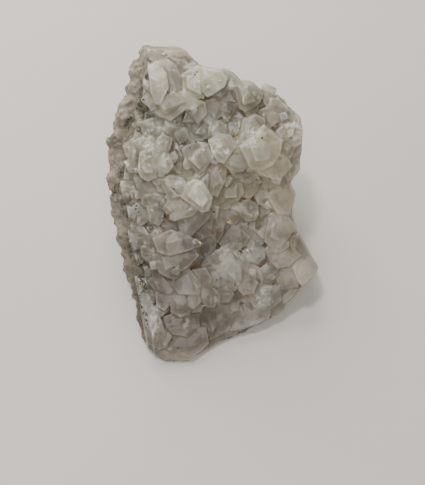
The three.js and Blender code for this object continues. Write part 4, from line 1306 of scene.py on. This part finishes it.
def make_seam_grains(surface):
    """The dark green grains: bands of them in the seam, and single ones on the crystals."""
    rng = np.random.default_rng(51)
    shapes = []
    for x0, y0, x1, y1, wide, count in SEAM_GRAINS:
        for _ in range(count):
            along = rng.random()
            x = x0 + (x1 - x0) * along + rng.normal() * wide * 0.4
            y = y0 + (y1 - y0) * along + rng.normal() * wide * 0.4
            spot = on_face(surface, x, y)
            if spot is not None:
                shapes.append(grain(spot, rng.uniform(*GRAIN_SIZES), rng))
    for x, y in SPECKS:
        spot = on_face(surface, x, y)
        if spot is not None:
            shapes.append(grain(spot, rng.uniform(*SPECK_SIZES), rng))
    return many("celadonite_grains", shapes)


def make_ochre_specks(surface):
    """The ochre specks, each a few small lumps."""
    rng = np.random.default_rng(52)
    shapes = []
    for x, y, size in OCHRES:
        for _ in range(OCHRE_LUMPS):
            spot = on_face(surface, x + rng.normal() * size, y + rng.normal() * size)
            if spot is not None:
                shapes.append(grain(spot, size * rng.uniform(0.3, 0.6), rng))
    return many("ochre_specks", shapes)


# ---- the stage ----

# Soft lights: name, place, size, power and colour.
LIGHTS = [
    ("ceiling", (-0.2, 0.55, 0.42), 0.7, 7.3, (1.0, 0.95, 0.88)),
    ("lamp", (-0.12, 0.08, 0.65), 0.1, 2.0, (1.0, 0.98, 0.95)),
    ("window", (0.0, -0.5, 0.8), 0.6, 2.8, (1.0, 0.98, 0.94)),
]
TABLE_REACH = 900


def add_light(name, place, size, power, colour):
    """A round area light that faces the specimen."""
    light = bpy.data.lights.new(name, "AREA")
    light.shape = "DISK"
    light.size = size
    light.energy = power
    light.color = colour
    obj = bpy.data.objects.new(name, light)
    obj.location = place
    obj.rotation_mode = "QUATERNION"
    obj.rotation_quaternion = (Vector((0, 0, 0.02)) - Vector(place)).to_track_quat("-Z", "Y")
    bpy.context.scene.collection.objects.link(obj)


def make_stage():
    """A pale table in soft, even light."""
    corners = [(x * TABLE_REACH, y * TABLE_REACH, 0) for x, y in ((-1, -1), (1, -1), (1, 1), (-1, 1))]
    floor = mesh_object("table", corners, [[0, 1, 2, 3]])
    floor.data.materials.append(floor_material())

    world = bpy.data.worlds.new("studio")
    bpy.context.scene.world = world
    world.use_nodes = True
    world.node_tree.nodes["Background"].inputs["Color"].default_value = (1.0, 0.97, 0.928, 1)
    world.node_tree.nodes["Background"].inputs["Strength"].default_value = 0.48
    for row in LIGHTS:
        add_light(*row)


LENS, SENSOR = 59.9, 36


def make_camera():
    """The camera, where the grid's eye is."""
    data = bpy.data.cameras.new("camera")
    data.lens = LENS
    data.sensor_width = SENSOR
    camera = bpy.data.objects.new("camera", data)
    target = seen(EYE_X, EYE_Y, 0)
    camera.location = (target + OUT_OF_FACE * EYE) * MM
    camera.rotation_mode = "QUATERNION"
    camera.rotation_quaternion = Vector(-OUT_OF_FACE).to_track_quat("-Z", "Y")
    bpy.context.scene.collection.objects.link(camera)
    bpy.context.scene.camera = camera


# ---- putting it together ----


def shade(obj, material, angle=None):
    """Gives an object its one material, and smooth shading but for edges sharper than an angle."""
    obj.data.materials.clear()
    obj.data.materials.append(material)
    obj.data.shade_smooth()
    if angle is not None:
        obj.data.set_sharp_from_angle(angle=math.radians(angle))


crystals, crystal_shapes = make_crystals()
crystal_owners = owners_of(points_of(crystals), crystal_shapes)
flatten(crystals)
grow_facets(crystals)
paint_crystals(crystals, crystal_owners)
thin_to(crystals, CRYSTAL_TRIANGLES)
shade(crystals, crystal_material(), 32)
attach(crystals, "root")
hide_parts("apophyllite_crystals")

crust = make_crust()
paint_crust(crust)
shade(crust, crust_material())
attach(crust, "root")
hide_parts("chalcedony_crust")

whole = joined("surface", [bpy.data.objects.new(o.name, o.data.copy()) for o in (crystals, crust)])
surface = surface_of(whole)
bpy.data.meshes.remove(whole.data)

seam_grains = make_seam_grains(surface)
shade(seam_grains, grain_material("celadonite", (0.02, 0.024, 0.014), (0.13, 0.13, 0.08), 0.6), 30)
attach(seam_grains, "root")

ochre_specks = make_ochre_specks(surface)
shade(ochre_specks, grain_material("ochre", (0.42, 0.29, 0.10), (0.80, 0.64, 0.34), 0.5), 30)
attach(ochre_specks, "root")

make_stage()
make_camera()
